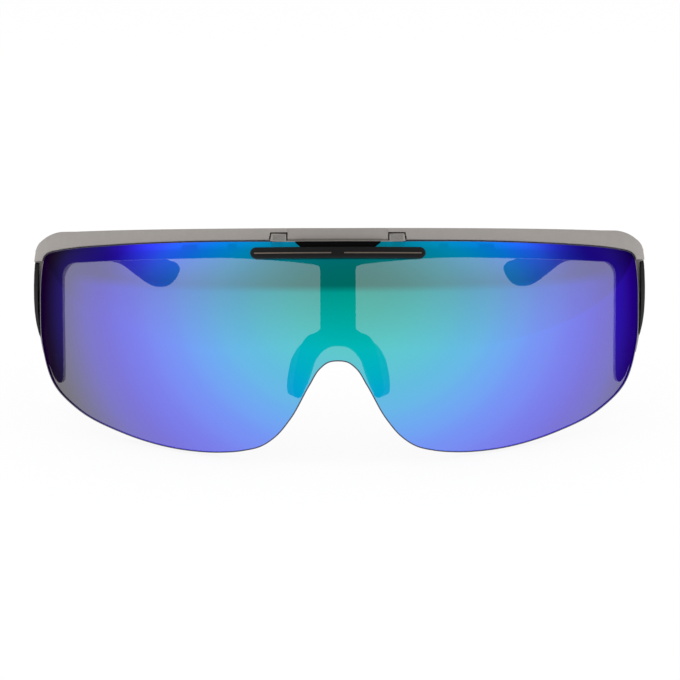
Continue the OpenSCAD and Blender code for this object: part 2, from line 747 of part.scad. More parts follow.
// The narrow end of the arm that the rubber tip is pushed over
module temple_tongue() {
    intersection() {
        plan_prism(band(-tongue_t / 2, 0, tongue_t / 2, 0));
        side_prism(tongue_side);
        between((tip_start_share - 0.01) * temple_l, temple_l);
    }
}

module insert_shape(proud) {
    intersection() {
        plan_prism(band(-insert_t, 0.5, proud, 0.5));
        side_prism(insert_side);
        if (proud == 0) outer_round();
    }
}

module side_insert(side) {
    color("#1c1d1f") stand() on_side(side) at_fold() insert_shape(0);
}

module temple_tip(side) {
    color("#232527") stand() on_side(side) at_fold() difference() {
        intersection() {
            plan_prism(band(-tip_t / 2, 0, tip_t / 2, 0));
            side_prism(tip_side);
            between(tip_start_share * temple_l, temple_l * 1.1);
        }
        temple_tongue();
    }
}

front_frame();
nose_saddle();
lens_bumpers();
flip_pins();
hinge_leaf_frame("left");  // hinge_leaf_frame_left
hinge_leaf_frame("right");  // hinge_leaf_frame_right
frame_leaf_screws();
hinge_screw("left");  // hinge_screw_left
hinge_screw("right");  // hinge_screw_right
shield_lens();
lens_carrier();
clip_bar();
inlay("left");  // inlay_left
inlay("right");  // inlay_right
clip_screws();
temple_arm("left");  // temple_arm_left
temple_arm("right");  // temple_arm_right
side_insert("left");  // side_insert_left
side_insert("right");  // side_insert_right
temple_tip("left");  // temple_tip_left
temple_tip("right");  // temple_tip_right
hinge_leaf_temple("left");  // hinge_leaf_temple_left
hinge_leaf_temple("right");  // hinge_leaf_temple_right
temple_leaf_screws("left");  // temple_leaf_screws_left
temple_leaf_screws("right");  // temple_leaf_screws_right
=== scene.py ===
# %% [markdown]
# # Flip-up sport sunglasses
#
# This lesson dresses a pair of sport sunglasses: one wide mirrored lens that flips up at
# the brow, a grey one-piece front behind it, and two folding temples. The CAD model is
# loaded first and never moved. Every finer piece is built where the CAD says it is, rides
# on the same body, and hides the plain solid it stands for.

# %% Load the frame
import json
import math
from functools import partial

import bmesh
import bpy
import numpy as np
from mathutils import Matrix, Vector
from mathutils.geometry import delaunay_2d_cdt


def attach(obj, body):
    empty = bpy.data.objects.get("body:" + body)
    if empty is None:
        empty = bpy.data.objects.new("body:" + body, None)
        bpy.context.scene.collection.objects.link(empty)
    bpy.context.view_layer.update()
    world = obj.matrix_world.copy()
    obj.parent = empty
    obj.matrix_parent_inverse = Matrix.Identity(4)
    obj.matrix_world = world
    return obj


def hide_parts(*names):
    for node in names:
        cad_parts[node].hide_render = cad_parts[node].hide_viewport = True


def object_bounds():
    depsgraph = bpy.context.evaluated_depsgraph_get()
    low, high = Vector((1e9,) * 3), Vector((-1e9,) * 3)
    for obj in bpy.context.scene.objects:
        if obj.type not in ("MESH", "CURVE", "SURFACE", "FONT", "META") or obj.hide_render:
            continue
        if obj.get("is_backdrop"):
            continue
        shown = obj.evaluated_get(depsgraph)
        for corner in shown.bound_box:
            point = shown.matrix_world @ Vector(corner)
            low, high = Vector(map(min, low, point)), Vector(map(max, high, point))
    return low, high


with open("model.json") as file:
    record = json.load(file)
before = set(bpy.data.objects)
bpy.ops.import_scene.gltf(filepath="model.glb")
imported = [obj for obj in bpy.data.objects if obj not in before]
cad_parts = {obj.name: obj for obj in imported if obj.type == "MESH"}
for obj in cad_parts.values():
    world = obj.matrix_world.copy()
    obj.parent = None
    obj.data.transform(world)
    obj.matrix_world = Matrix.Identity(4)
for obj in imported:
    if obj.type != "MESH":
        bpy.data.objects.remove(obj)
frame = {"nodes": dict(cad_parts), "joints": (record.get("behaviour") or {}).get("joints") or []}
cad_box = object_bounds()
joints = {joint["name"]: joint for joint in frame["joints"]}

# %% [markdown]
# ## Two frames of drawing
#
# The glasses rest on a table and lean forwards, but they are much easier to draw as the
# wearer's level gaze sees them: X to the wearer's left, Y from the lens to the ears, Z up,
# in millimetres, with the lens's top edge at zero height. One matrix then turns a finished
# mesh into the row frame in metres. The tilt and the shift come from the joints, so they
# always agree with the CAD.

# %% The drawing frame
MM = 0.001
FLIP_BACK, FLIP_UP = 2.85, 0.85
TEMPLE_RISE = math.radians(5.5)

fold_axis = joints["temple_left_fold"]["axis"]
TILT = math.atan2(fold_axis[1], fold_axis[2]) + TEMPLE_RISE
flip_place = Vector(joints["lens_flip"]["pos_m"])
LEAN = Matrix.Rotation(-TILT, 4, "X") @ Matrix.Scale(MM, 4)
TO_ROW = Matrix.Translation(flip_place - LEAN @ Vector((0, FLIP_BACK, FLIP_UP))) @ LEAN
TO_DRAWING = TO_ROW.inverted()
fold_place = TO_DRAWING @ Vector(joints["temple_left_fold"]["pos_m"])
FOLD_X, FOLD_BACK, FOLD_DROP = fold_place.x, fold_place.y, -fold_place.z
print("tilt", round(math.degrees(TILT), 3), "fold", [round(v, 3) for v in fold_place])

# %% [markdown]
# ## Sizes
#
# These are the CAD's own sizes, but for the nose post's width, the top bar's sag and the
# brow's outer corner, which follow the photograph more closely here. The lens, the clip
# bar, the brow and the wall behind the lens all lie on balls about one centre, so a piece
# is a flat outline plus two radii.

# %% Sizes shared by the pieces
LENS_HW, LENS_H, LENS_R, LENS_T = 71.4, 47.0, 84.0, 2.0
BELLY_DROP = 14.2
WALL_R = LENS_R - LENS_T - 0.5
WALL_BACK_R = WALL_R - 2.5
BROW_R = LENS_R + 0.4
FRAME_HW = LENS_HW + 1.5
BROW_H, BROW_RISE = 2.9, 1.05
BROW_GAP = 0.04
CORNER_W, CORNER_H = 7.0, 5.0
BROW_HW, BROW_END = 74.0, -2.6
BAR_DROP, BAR_SAG = 3.3, 2.4
ARM_W, ARM_DROP = 7.2, 31.9
POST_W, POST_DROP = 7.8, 21.0
PLATE_W, PLATE_T = 29.0, 1.4
KNUCKLE_IN, KNUCKLE_W, KNUCKLE_R = 11.35, 3.25, 0.85
ROOM = 0.3
CLIP_W, CLIP_H, CLIP_T, CLIP_DROP = 38.6, 2.5, 1.2, 1.25
CLIP_MID = -CLIP_DROP - CLIP_H / 2 - 0.05
PIN_R = 0.3
LIP_LOW, LIP_TOP, LIP_ROOM = -0.1, 0.13, 0.125
BARREL_R, BARREL_H = 1.3, 6.0
SCREW_UP = 0.27 * BARREL_H
LEAF_T, FRAME_LEAF_L, TEMPLE_LEAF_L = 0.9, 5.0, 7.5
TEMPLE_L, ROOT_H, ROOT_T, SLIM_T = 118.0, 26.6, 3.7, 2.8
ROOT_IN = FOLD_X + BARREL_R + 0.5
BOSS_X = FOLD_X - BARREL_R + LEAF_T

# %% [markdown]
# ## Smooth outlines
#
# A designer draws a lens with a few points and a flexible ruler. These helpers do the same:
# a Hermite curve runs through every point, and leans at each one as its two neighbours say.
# The points are shares of a piece's half width and height, so the shapes scale.

# %% Smooth curves through points
def unit(v):
    return v / np.linalg.norm(v, axis=-1, keepdims=True)


def lean_at(a, b, c):
    """Direction of the curve at b, between its neighbours a and c."""
    before, after = np.linalg.norm(b - a), np.linalg.norm(c - b)
    return (unit(b - a) * after + unit(c - b) * before) / (before + after)


def span(b, c, mb, mc, steps):
    t = (np.arange(steps) / steps)[:, None]
    return (
        (2 * t**3 - 3 * t**2 + 1) * b
        + (t**3 - 2 * t**2 + t) * mb
        + (3 * t**2 - 2 * t**3) * c
        + (t**3 - t**2) * mc
    )


def smooth_curve(points, steps=10, closed=False):
    """A curve through the points, which sets off straight at its ends if it is open."""
    p = np.asarray(points, float)
    n, parts = len(p), []
    for i in range(n if closed else n - 1):
        b, c = p[i], p[(i + 1) % n]
        size = np.linalg.norm(c - b)
        mb = lean_at(p[i - 1], b, c) if closed or i else unit(c - b)
        mc = lean_at(b, c, p[(i + 2) % n]) if closed or i < n - 2 else unit(c - b)
        parts.append(span(b, c, mb * size, mc * size, steps))
    return np.concatenate(parts if closed else [*parts, p[-1:]])


def smooth_ring(points, steps=10):
    return smooth_curve(points, steps, closed=True)


def sized(shares, width, height):
    return np.array(shares, float) * (width, height)


def mirrored(points):
    """The same run of points on the other side, in reverse order."""
    return np.asarray(points)[::-1] * (-1, 1)


def divided(outline, spacing, least=0.3):
    """The closed outline with no edge much shorter or longer than the spacing."""
    kept = [outline[0]]
    for p in outline[1:]:
        if np.linalg.norm(p - kept[-1]) > least * spacing:
            kept.append(p)
    points = []
    for a, b in zip(kept, kept[1:] + kept[:1]):
        count = max(1, math.ceil(np.linalg.norm(b - a) / spacing))
        points += [a + (b - a) * k / count for k in range(count)]
    points = np.array(points)
    x, y = points.T
    area = np.sum(x * np.roll(y, -1) - np.roll(x, -1) * y)
    return points if area > 0 else points[::-1]


def side_of(a, b, p):
    return (b - a)[:, 0] * (p - a)[:, 1] - (b - a)[:, 1] * (p - a)[:, 0]


def untangled(ring, longest=12, still=0.02):
    """Short loops, where an inset ring crosses itself, are drawn into the crossing, and
    points where it folds straight back or all but stands still onto their neighbour."""
    count = len(ring)
    for gap in range(2, longest):
        a, b = ring.copy(), np.roll(ring, -1, axis=0)
        c, d = np.roll(ring, -gap, axis=0), np.roll(ring, -gap - 1, axis=0)
        s3, s4 = side_of(c, d, a), side_of(c, d, b)
        hit = (side_of(a, b, c) * side_of(a, b, d) < 0) & (s3 * s4 < 0)
        for i in np.flatnonzero(hit):
            crossing = a[i] + (b[i] - a[i]) * s3[i] / (s3[i] - s4[i])
            for k in range(1, gap + 1):
                ring[(i + k) % count] = crossing
    for i in range(count):
        last, later = ring[i - 1], ring[(i + 1) % count]
        came, goes = np.hypot(*(ring[i] - last)), np.hypot(*(later - ring[i]))
        folded = (ring[i] - last) @ (later - ring[i]) < -0.99 * came * goes < 0
        if came < still or folded:
            ring[i] = last if came < max(goes, still) else later
    return ring


def inset(outline, distance, sharpest=0.4):
    """A counterclockwise outline moved inwards."""
    before = outline - np.roll(outline, 1, axis=0)
    sides = before, np.roll(before, -1, axis=0)
    n1, n2 = [unit(np.stack([-side[:, 1], side[:, 0]], axis=1)) for side in sides]
    share = 1 + np.sum(n1 * n2, axis=1, keepdims=True)
    return untangled(outline + distance * (n1 + n2) / np.maximum(share, sharpest))


# %% [markdown]
# ## A moulded plate
#
# Nearly every part of such glasses is a plate: an outline, two faces, and a rounded rim.
# The faces are filled with evenly spaced triangles, because long thin ones would show as
# streaks in a mirror, and the rim is rounded in a few rings.

# %% The plate builder
ROW_STEP, CLEAR_OF_EDGE = 0.866, 0.6  # shares of the spacing
ALIKE = 1e-5


def inside(points, outline):
    x, y = points[:, :1], points[:, 1:]
    x0, y0 = outline[:, 0], outline[:, 1]
    x1, y1 = np.roll(x0, -1), np.roll(y0, -1)
    crossing = (y0 > y) != (y1 > y)
    at = x0 + (y - y0) * (x1 - x0) / np.where(y1 == y0, 1e-12, y1 - y0)
    return np.sum(crossing & (x < at), axis=1) % 2 == 1


def filled(outline, spacing):
    """Points of a filled outline, the outline's own first, and its triangles."""
    low, high = outline.min(0), outline.max(0)
    rows = np.arange(low[1], high[1], spacing * ROW_STEP)
    columns = np.arange(low[0], high[0], spacing)
    grid = [(x + (i % 2) * spacing / 2, y) for i, y in enumerate(rows) for x in columns]
    grid = np.array(grid)
    grid = grid[inside(grid, outline)]
    clear = (CLEAR_OF_EDGE * spacing) ** 2
    far = [np.min(np.sum((outline - g) ** 2, axis=1)) > clear for g in grid]
    points = np.concatenate([outline, grid[np.array(far, bool)]])
    apart = np.linalg.norm(outline - np.roll(outline, 1, axis=0), axis=1) > 1e-6
    loop = np.flatnonzero(apart).tolist()
    found = delaunay_2d_cdt([Vector(p) for p in points], [], [loop], 1, 1e-7)
    source = [ids[0] for ids in found[3]]
    return points, [[source[i] for i in face] for face in found[2]]


def edited(mesh, edit):
    """Lets a function edit a mesh as a bmesh."""
    work = bmesh.new()
    work.from_mesh(mesh)
    edit(work)
    work.to_mesh(mesh)
    work.free()
    return mesh


def plate_mesh(name, outline, place, round_outer, round_inner, spacing=1.2, steps=4):
    """place(points, side, depth) says where points of the outline's plane lie: on the
    outer face (side 0) or the inner one (side 1), moved into the plate by a depth."""
    outline = divided(outline, spacing)
    angles = np.linspace(0, math.pi / 2, steps + 1)
    levels = [(0, round_outer, a) for a in angles] if round_outer else [(0, 0, 0)]
    levels += [(1, round_inner, a) for a in angles[::-1]] if round_inner else [(1, 0, 0)]
    coords, faces, zones, rings = [], [], [], []
    for i, (side, size, a) in enumerate(levels):
        ring = inset(outline, size * (1 - math.sin(a))) if size else outline
        depth = np.full(len(ring), size * (1 - math.cos(a)))
        if i in (0, len(levels) - 1):
            points, triangles = filled(ring, spacing)
            start = sum(map(len, coords))
            coords.append(place(points, side, np.zeros(len(points))))
            rings.append(start)
            for t in triangles:
                faces.append([start + v for v in (t[::-1] if side else t)])
                zones.append(2 * side)
        else:
            rings.append(sum(map(len, coords)))
            coords.append(place(ring, side, depth))
    n = len(outline)
    for above, below in zip(rings, rings[1:]):
        for k in range(n):
            j = (k + 1) % n
            faces.append([above + k, below + k, below + j, above + j])
            zones.append(1)
    mesh = bpy.data.meshes.new(name)
    mesh.from_pydata(np.concatenate(coords).tolist(), [], faces)
    mesh.attributes.new("zone", "INT", "FACE").data.foreach_set("value", zones)
    return edited(mesh, lambda w: bmesh.ops.remove_doubles(w, verts=w.verts, dist=ALIKE))


def zones_of(mesh):
    """For each face of a plate whether it is outer (0), rim (1) or inner (2)."""
    zones = np.zeros(len(mesh.polygons), np.int32)
    mesh.attributes["zone"].data.foreach_get("value", zones)
    return zones


def new_object(name, mesh):
    obj = bpy.data.objects.new(name, mesh)
    bpy.context.scene.collection.objects.link(obj)
    return obj


def baked(obj):
    """Replaces an object's mesh by what its modifiers make of it."""
    graph = bpy.context.evaluated_depsgraph_get()
    mesh = bpy.data.meshes.new_from_object(obj.evaluated_get(graph), depsgraph=graph)
    obj.modifiers.clear()
    old, obj.data = obj.data, mesh
    bpy.data.meshes.remove(old)
    return obj


# %% [markdown]
# ## Bending onto the ball
#
# The lens follows a rule: each point of its flat outline is pushed back until it lies on a
# ball. That is a good first job for Geometry Nodes. Each vertex of the flat piece holds the
# radius of its own ball in Y, so the lens's two faces, and the brow and the bar in front of
# them, all come out of the same small tree.

# %% Node helpers and the ball tree
def feed(made, inputs):
    """Links or sets inputs of a node."""
    for key, value in inputs.items():
        if isinstance(value, bpy.types.NodeSocket):
            made.id_data.links.new(value, made.inputs[key])
        else:
            made.inputs[key].default_value = value


def node(tree, kind, inputs=None, **settings):
    made = tree.nodes.new(kind)
    for name, value in settings.items():
        setattr(made, name, value)
    feed(made, inputs or {})
    return made


def output(tree, kind, inputs=None, **settings):
    return node(tree, kind, inputs, **settings).outputs[0]


def xyz(tree, **parts):
    return output(tree, "ShaderNodeCombineXYZ", parts)


def parts_of(tree, vector):
    return node(tree, "ShaderNodeSeparateXYZ", {0: vector}).outputs


def calc(operation, *values, clamp=False):
    """A sum in the tree that its values come from."""
    tree = next(v.id_data for v in values if isinstance(v, bpy.types.NodeSocket))
    inputs = dict(enumerate(values))
    return output(tree, "ShaderNodeMath", inputs, operation=operation, use_clamp=clamp)


plus, minus, times = (partial(calc, name) for name in ("ADD", "SUBTRACT", "MULTIPLY"))


def new_tree(name, kind, inputs, outputs):
    """A node group; each input's label has a default number or a kind of socket."""
    tree = bpy.data.node_groups.new(name, kind + "NodeTree")
    sockets = [(label, "INPUT", value) for label, value in inputs.items()]
    sockets += [(label, "OUTPUT", value) for label, value in outputs.items()]
    for label, in_out, value in sockets:
        kind = "NodeSocket" + (value if isinstance(value, str) else "Float")
        socket = tree.interface.new_socket(label, in_out=in_out, socket_type=kind)
        if not isinstance(value, str):
            socket.default_value = value
    return tree, node(tree, "NodeGroupInput").outputs


def geometry_tree(name, sizes):
    inputs = {"Geometry": "Geometry", **sizes, "Material": "Material"}
    return new_tree(name, "Geometry", inputs, {"Geometry": "Geometry"})


def finish_tree(tree, geometry, material):
    """Every tree ends the same way: real meshes with their material."""
    real = output(tree, "GeometryNodeRealizeInstances", {0: geometry})
    worn = output(tree, "GeometryNodeSetMaterial", {"Geometry": real, "Material": material})
    node(tree, "NodeGroupOutput", {0: worn})
    return tree


def build_ball_tree():
    sizes = {"Centre Depth": LENS_R, "Belly Drop": BELLY_DROP}
    tree, given = geometry_tree("bend_onto_ball", sizes)
    place = output(tree, "GeometryNodeInputPosition")
    flat = parts_of(tree, place)
    up = plus(flat["Z"], given["Belly Drop"])
    rest = minus(times(flat["Y"], flat["Y"]), times(up, up))
    rest = minus(rest, times(flat["X"], flat["X"]))
    depth = minus(given["Centre Depth"], calc("SQRT", rest))
    there = xyz(tree, X=flat["X"], Y=depth, Z=flat["Z"])
    moved = {"Geometry": given["Geometry"], "Position": there}
    bent = output(tree, "GeometryNodeSetPosition", moved)
    return finish_tree(tree, bent, given["Material"])


BALL_TREE = build_ball_tree()


def through_tree(obj, tree, values):
    """Runs an object through a tree; inputs are set by their identifiers."""
    modifier = obj.modifiers.new(tree.name, "NODES")
    modifier.node_group = tree
    known = {
        s.name: s.identifier
        for s in tree.interface.items_tree
        if s.item_type == "SOCKET" and s.in_out == "INPUT"
    }
    for label, value in values.items():
        modifier[known[label]] = value
    return baked(obj)


def ball_plate(name, outline, outer_r, inner_r, material, rounds=(0.2, 0.2), spacing=1.2):
    """A plate of the front, between two balls."""

    def flat(points, side, depth):
        radius = inner_r + depth if side else outer_r - depth
        return np.stack([points[:, 0], radius, points[:, 1]], axis=1)

    mesh = plate_mesh(name, outline, flat, *rounds, spacing)
    return through_tree(new_object(name, mesh), BALL_TREE, {"Material": material})


def ball_depth(r, x, z):
    return LENS_R - math.sqrt(r**2 - x**2 - (z + BELLY_DROP) ** 2)


# %% [markdown]
# ## Cutting and finishing
#
# Mould makers cut pockets with plain shapes. The Boolean modifier does it here, in
# millimetres, where the numbers are comfortable. A finished piece is moved into the row
# frame, shaded smooth up to sharp edges, and handed to its body.

# %% Cutters, Booleans and the last step of a piece
def dress(mesh, materials, picks=None):
    """Gives a mesh its materials; picks say which of them each face wears."""
    mesh.materials.clear()
    for material in materials:
        mesh.materials.append(material)
    if picks is not None:
        mesh.polygons.foreach_set("material_index", np.asarray(picks, np.int32))


def softened(obj, width, angle=40):
    """Rounds the edges of a small block."""
    bevel = obj.modifiers.new("soft", "BEVEL")
    bevel.width, bevel.segments, bevel.limit_method = width, 2, "ANGLE"
    bevel.angle_limit = math.radians(angle)
    return baked(obj)


def solid(points, faces):
    """A cutter or block, with its faces turned outwards."""
    mesh = bpy.data.meshes.new("cutter")
    mesh.from_pydata([tuple(p) for p in points], [], faces)
    edited(mesh, lambda w: bmesh.ops.recalc_face_normals(w, faces=w.faces))
    return new_object("cutter", mesh)


def tube(rings, place=lambda p: p):
    """A solid between the first and last of a stack of rings of equally many points."""
    n, count = len(rings[0]), len(rings) * len(rings[0])
    walls = [
        (low + k, low + (k + 1) % n, low + n + (k + 1) % n, low + n + k)
        for low in range(0, count - n, n)
        for k in range(n)
    ]
    ends = [tuple(range(n)), tuple(range(count - n, count))]
    return solid([place(p) for ring in rings for p in ring], ends + walls)


def box(x0, x1, y0, y1, z0, z1, place=lambda p: p):
    corners = [place((x, y, z)) for x in (x0, x1) for y in (y0, y1) for z in (z0, z1)]
    sides = [(0, 1, 3, 2), (4, 6, 7, 5), (0, 4, 5, 1), (2, 3, 7, 6), (0, 2, 6, 4), (1, 5, 7, 3)]
    return solid(corners, sides)


def prism(profile, x0, x1):
    """A (depth, height) profile carried along X."""
    return tube([[(x, y, z) for y, z in profile] for x in (x0, x1)])


def circle(r, a, b, count=48):
    turns = np.linspace(0, 2 * math.pi, count, endpoint=False)
    return [(a + r * math.cos(t), b + r * math.sin(t)) for t in turns]


def from_temple(p):
    """From (outwards, along the temple, up the fold axis) to the drawing frame."""
    x, u, w = p
    c, s = math.cos(TEMPLE_RISE), math.sin(TEMPLE_RISE)
    return (x, FOLD_BACK + u * c - w * s, -FOLD_DROP + u * s + w * c)


def other_side(obj):
    """A mirrored copy of a piece, with its faces turned back outwards."""
    mesh = obj.data.copy()
    mesh.transform(Matrix.Scale(-1, 4, (1, 0, 0)))
    mesh.flip_normals()
    return new_object(obj.name.replace("left", "right"), mesh)


def worked(obj, operation, tools):
    """Cuts or joins an object with others, which are used up."""
    for tool in tools:
        step = obj.modifiers.new("work", "BOOLEAN")
        step.operation, step.object, step.solver = operation, tool, "MANIFOLD"
    baked(obj)
    for tool in tools:
        bpy.data.objects.remove(tool)
    return obj


def both(tool):
    return [tool, other_side(tool)]


def finished(obj, body, slot, replaced, sharp=35):
    obj.data.transform(TO_ROW)
    obj.data.shade_smooth()
    obj.data.set_sharp_from_angle(angle=math.radians(sharp))
    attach(obj, body)
    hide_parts(*replaced)
    obj.data.calc_loop_triangles()
    print(obj.name, len(obj.data.loop_triangles), "triangles on", body)
    return obj


# %% [markdown]
# ## Effects that several finishes share
#
# Moulded plastic is never one flat colour: it has a fine spark-eroded grain from the mould,
# slow differences in gloss from handling, and metal has fine lines from brushing. Each
# effect is one node group with its own inputs, and puts out only masks and heights.

# %% Shared shader effects
def effect(name, build, **sizes):
    inputs = {"Vector": "Vector", **sizes}
    tree, given = new_tree(name, "Shader", inputs, {"Mask": "Float", "Height": "Float"})
    mask, height = build(tree, given)
    node(tree, "NodeGroupOutput", {"Mask": mask, "Height": height})
    return tree


def noise(tree, vector, scale, detail=2.0, rough=0.5):
    inputs = {"Vector": vector, "Scale": scale, "Detail": detail, "Roughness": rough}
    return output(tree, "ShaderNodeTexNoise", inputs)


def build_grain(tree, given):
    fine = noise(tree, given["Vector"], given["Scale"], 3.0, 0.6)
    coarse = noise(tree, given["Vector"], times(given["Scale"], 0.06))
    mask = plus(0.5, times(minus(fine, 0.5), given["Contrast"]))
    slow = times(minus(coarse, 0.5), given["Mottle"])
    return plus(mask, slow, clamp=True), fine


def build_brushing(tree, given):
    stretch = {"Vector": given["Vector"], "Scale": (1.0, 1.0, 14.0)}
    lines = noise(tree, output(tree, "ShaderNodeMapping", stretch), given["Scale"], 4.0, 0.65)
    return plus(0.5, times(minus(lines, 0.5), given["Contrast"]), clamp=True), lines


GRAIN = effect("moulded_grain", build_grain, Scale=9000.0, Contrast=1.0, Mottle=0.4)
BRUSHING = effect("brushed_lines", build_brushing, Scale=2500.0, Contrast=1.2)


def emptied(owner):
    """The node tree of a material or a world, without its nodes."""
    owner.use_nodes = True
    owner.node_tree.nodes.clear()
    return owner.node_tree


def new_material(name):
    material = bpy.data.materials.new(name)
    tree = emptied(material)
    shader = node(tree, "ShaderNodeBsdfPrincipled")
    node(tree, "ShaderNodeOutputMaterial", {"Surface": shader.outputs[0]})
    where = node(tree, "ShaderNodeTexCoord").outputs["Object"]
    return material, tree, shader, where


def srgb(*chart):
    """A colour as a paint chart gives it, 0 to 255, as the linear colour of a shader."""
    shares = [v / 255 for v in chart]
    linear = [v / 12.92 if v <= 0.04045 else ((v + 0.055) / 1.055) ** 2.4 for v in shares]
    return (*linear, 1.0)


def blend_colours(tree, mask, dark, light):
    inputs = {0: mask, 6: dark, 7: light}
    return node(tree, "ShaderNodeMix", inputs, data_type="RGBA").outputs[2]


def map_range(tree, value, low, high, from_low=0.0, from_high=1.0):
    inputs = {"Value": value, "From Min": from_low, "From Max": from_high}
    return output(tree, "ShaderNodeMapRange", inputs | {"To Min": low, "To Max": high})


def textured(name, group, values, dark, light, rough, bump, **constants):
    """A finish whose colour, gloss and relief (strength, mm) all follow one effect group."""
    material, tree, shader, where = new_material(name)
    inputs = {"Vector": where, **values}
    made = node(tree, "ShaderNodeGroup", inputs, node_tree=group).outputs
    relief = {"Strength": bump[0], "Distance": bump[1] * MM, "Height": made["Height"]}
    look = {
        "Base Color": blend_colours(tree, made["Mask"], srgb(*dark), srgb(*light)),
        "Roughness": map_range(tree, made["Mask"], rough[1], rough[0]),
        "Normal": output(tree, "ShaderNodeBump", relief),
    }
    feed(shader, look | constants)
    return material


# %% [markdown]
# ## Plain finishes
#
# The front and the temples are moulded in a warm grey nylon with a satin surface. The bar
# and the side inserts are black, and the saddle and the tips are a soft-touch rubber that
# hardly shines. Hinges are nickel silver, and screws are turned steel.

# %% The plain finishes
def moulded(name, grain, *look, specular=0.5):
    values = dict(zip(("Scale", "Contrast", "Mottle"), grain))
    return textured(name, GRAIN, values, *look, **{"Specular IOR Level": specular})


def brushed(name, scale, *look):
    return textured(name, BRUSHING, {"Scale": scale}, *look, (0.1, 0.01), Metallic=1.0)


# Each has its effect's inputs, a dark and a light colour, a range of gloss, and a relief.
grey_plastic = moulded(
    "grey_plastic", (7e3, 0.9, 0.5), (146, 141, 137), (161, 155, 150), (0.36, 0.5), (0.12, 0.02)
)
tab_grain = moulded(
    "tab_grain", (3600, 1.4, 0.5), (112, 109, 105), (146, 143, 138), (0.45, 0.6), (0.35, 0.04)
)
black_plastic = moulded(
    "black_plastic", (9e3, 0.8, 0.4), (12, 12, 14), (20, 20, 22), (0.34, 0.46), (0.08, 0.02),
    specular=0.2,
)  # fmt: skip
# Near black and matt: painted shade, on the wall's face behind the lens and in the clip bar's
# sunk key.
matt_backing = moulded(
    "matt_backing", (6e3, 1.0, 0.5), (2, 2, 2), (9, 9, 10), (0.7, 0.85), (0.2, 0.03),
    specular=0.05,
)  # fmt: skip
black_insert = moulded(
    "black_insert", (5200, 1.1, 0.5), (20, 20, 21), (31, 31, 32), (0.42, 0.58), (0.25, 0.03)
)
soft_rubber = moulded(
    "soft_rubber", (4200, 1.2, 0.6), (36, 37, 39), (50, 51, 53), (0.62, 0.82), (0.3, 0.04)
)
satin_strip = brushed("satin_strip", 3e3, (126, 113, 103), (152, 138, 126), (0.32, 0.46))
hinge_metal = brushed("hinge_metal", 2200, (168, 166, 160), (204, 202, 196), (0.28, 0.42))
steel = brushed("steel", 4200, (186, 187, 188), (216, 217, 218), (0.2, 0.32))
dark_steel = brushed("dark_steel", 3600, (44, 44, 46), (66, 66, 68), (0.35, 0.5))
print("finishes", len(bpy.data.materials))

# %% [markdown]
# ## The mirror coat
#
# A mirror coat is a stack of layers thinner than light waves. It is thickest in the middle
# of the lens, so the colour runs from teal through blue to violet, in ellipses about a
# point near the nose, which are flatter above it than below. Beyond violet, at the lens's
# outer ends, the ramp turns near black: painted shade, standing in for a darker room that
# the ends reflect. A Mapping node turns Object coordinates back into the drawing frame, two
# scaled distances give the ellipse, and a colour ramp gives the colour at each size.
#
# The coat is a metal that lets a little of the light through, 11 % in the middle and 18 %
# at the sides, which Alpha does. From behind a wearer sees smoke, not mirror: Backfacing
# swaps the colour there.

# %% The lens's finishes
def ramp(tree, factor, stops):
    """A smooth ramp; its stops are (size of the ellipse, colour)."""
    made = node(tree, "ShaderNodeValToRGB", {"Fac": factor})
    made.color_ramp.interpolation = "CARDINAL"
    elements = made.color_ramp.elements
    elements.remove(elements[-1])
    elements[0].position, elements[0].color = 0, (*stops[0][1], 1)
    for size, colour in stops[1:]:
        elements.new(size / COAT_REACH).color = (*colour, 1)
    return made.outputs[0]


def drawing_coordinates(tree, where):
    """Object coordinates turned into the drawing frame, in millimetres."""
    place = {"Location": TO_DRAWING.translation, "Rotation": TO_DRAWING.to_euler()}
    inputs = {"Vector": where, "Scale": (1 / MM,) * 3}
    return output(tree, "ShaderNodeMapping", inputs | place)


COAT_REACH = 80.0
COAT_MIDDLE = (3.7, -11.0)
FLAT_ABOVE, FLAT_BELOW = 2.25, 1.142
COAT_AND_SHADE_STOPS = [
    (0, (0.000, 0.53, 0.44)),
    (8, (0.000, 0.52, 0.47)),
    (16, (0.000, 0.52, 0.56)),
    (24, (0.000, 0.46, 0.67)),
    (32, (0.000, 0.36, 0.80)),
    (40, (0.005, 0.20, 0.89)),
    (48, (0.022, 0.08, 0.84)),
    (56, (0.030, 0.017, 0.68)),
    # From here out the stops run to near black: painted shade, standing in for the darker room
    # that the lens's outer ends reflect.
    (64, (0.038, 0.020, 0.41)),
    (72, (0.030, 0.027, 0.075)),
    (80, (0.030, 0.028, 0.04)),
]
COVER_STOPS = [(0, 0.89), (16, 0.885), (28, 0.867), (36, 0.837), (44, 0.818), (60, 0.82)]


def coat_size(tree, where):
    """How far out in the coat's ellipses a point lies, 0 to 1."""
    flat = parts_of(tree, drawing_coordinates(tree, where))
    across = minus(flat["X"], COAT_MIDDLE[0])
    up = minus(flat["Z"], COAT_MIDDLE[1])
    above = times(calc("MAXIMUM", up, 0.0), FLAT_ABOVE)
    up = plus(above, times(calc("MINIMUM", up, 0.0), FLAT_BELOW))
    square = plus(times(across, across), times(up, up))
    return calc("DIVIDE", calc("SQRT", square), COAT_REACH)


def build_mirror_coat():
    material, tree, shader, where = new_material("mirror_coat")
    size = coat_size(tree, where)
    behind = node(tree, "ShaderNodeNewGeometry").outputs["Backfacing"]
    coat = ramp(tree, size, COAT_AND_SHADE_STOPS)
    look = {
        "Base Color": blend_colours(tree, behind, coat, srgb(24, 22, 28)),
        "Alpha": ramp(tree, size, [(far, (a, a, a)) for far, a in COVER_STOPS]),
        "Roughness": map_range(tree, noise(tree, where, 90.0, 3.0), 0.02, 0.05),
        "Metallic": 1.0,
        "Specular Tint": (0.4, 0.35, 0.5, 1),
    }
    feed(shader, look)
    return material


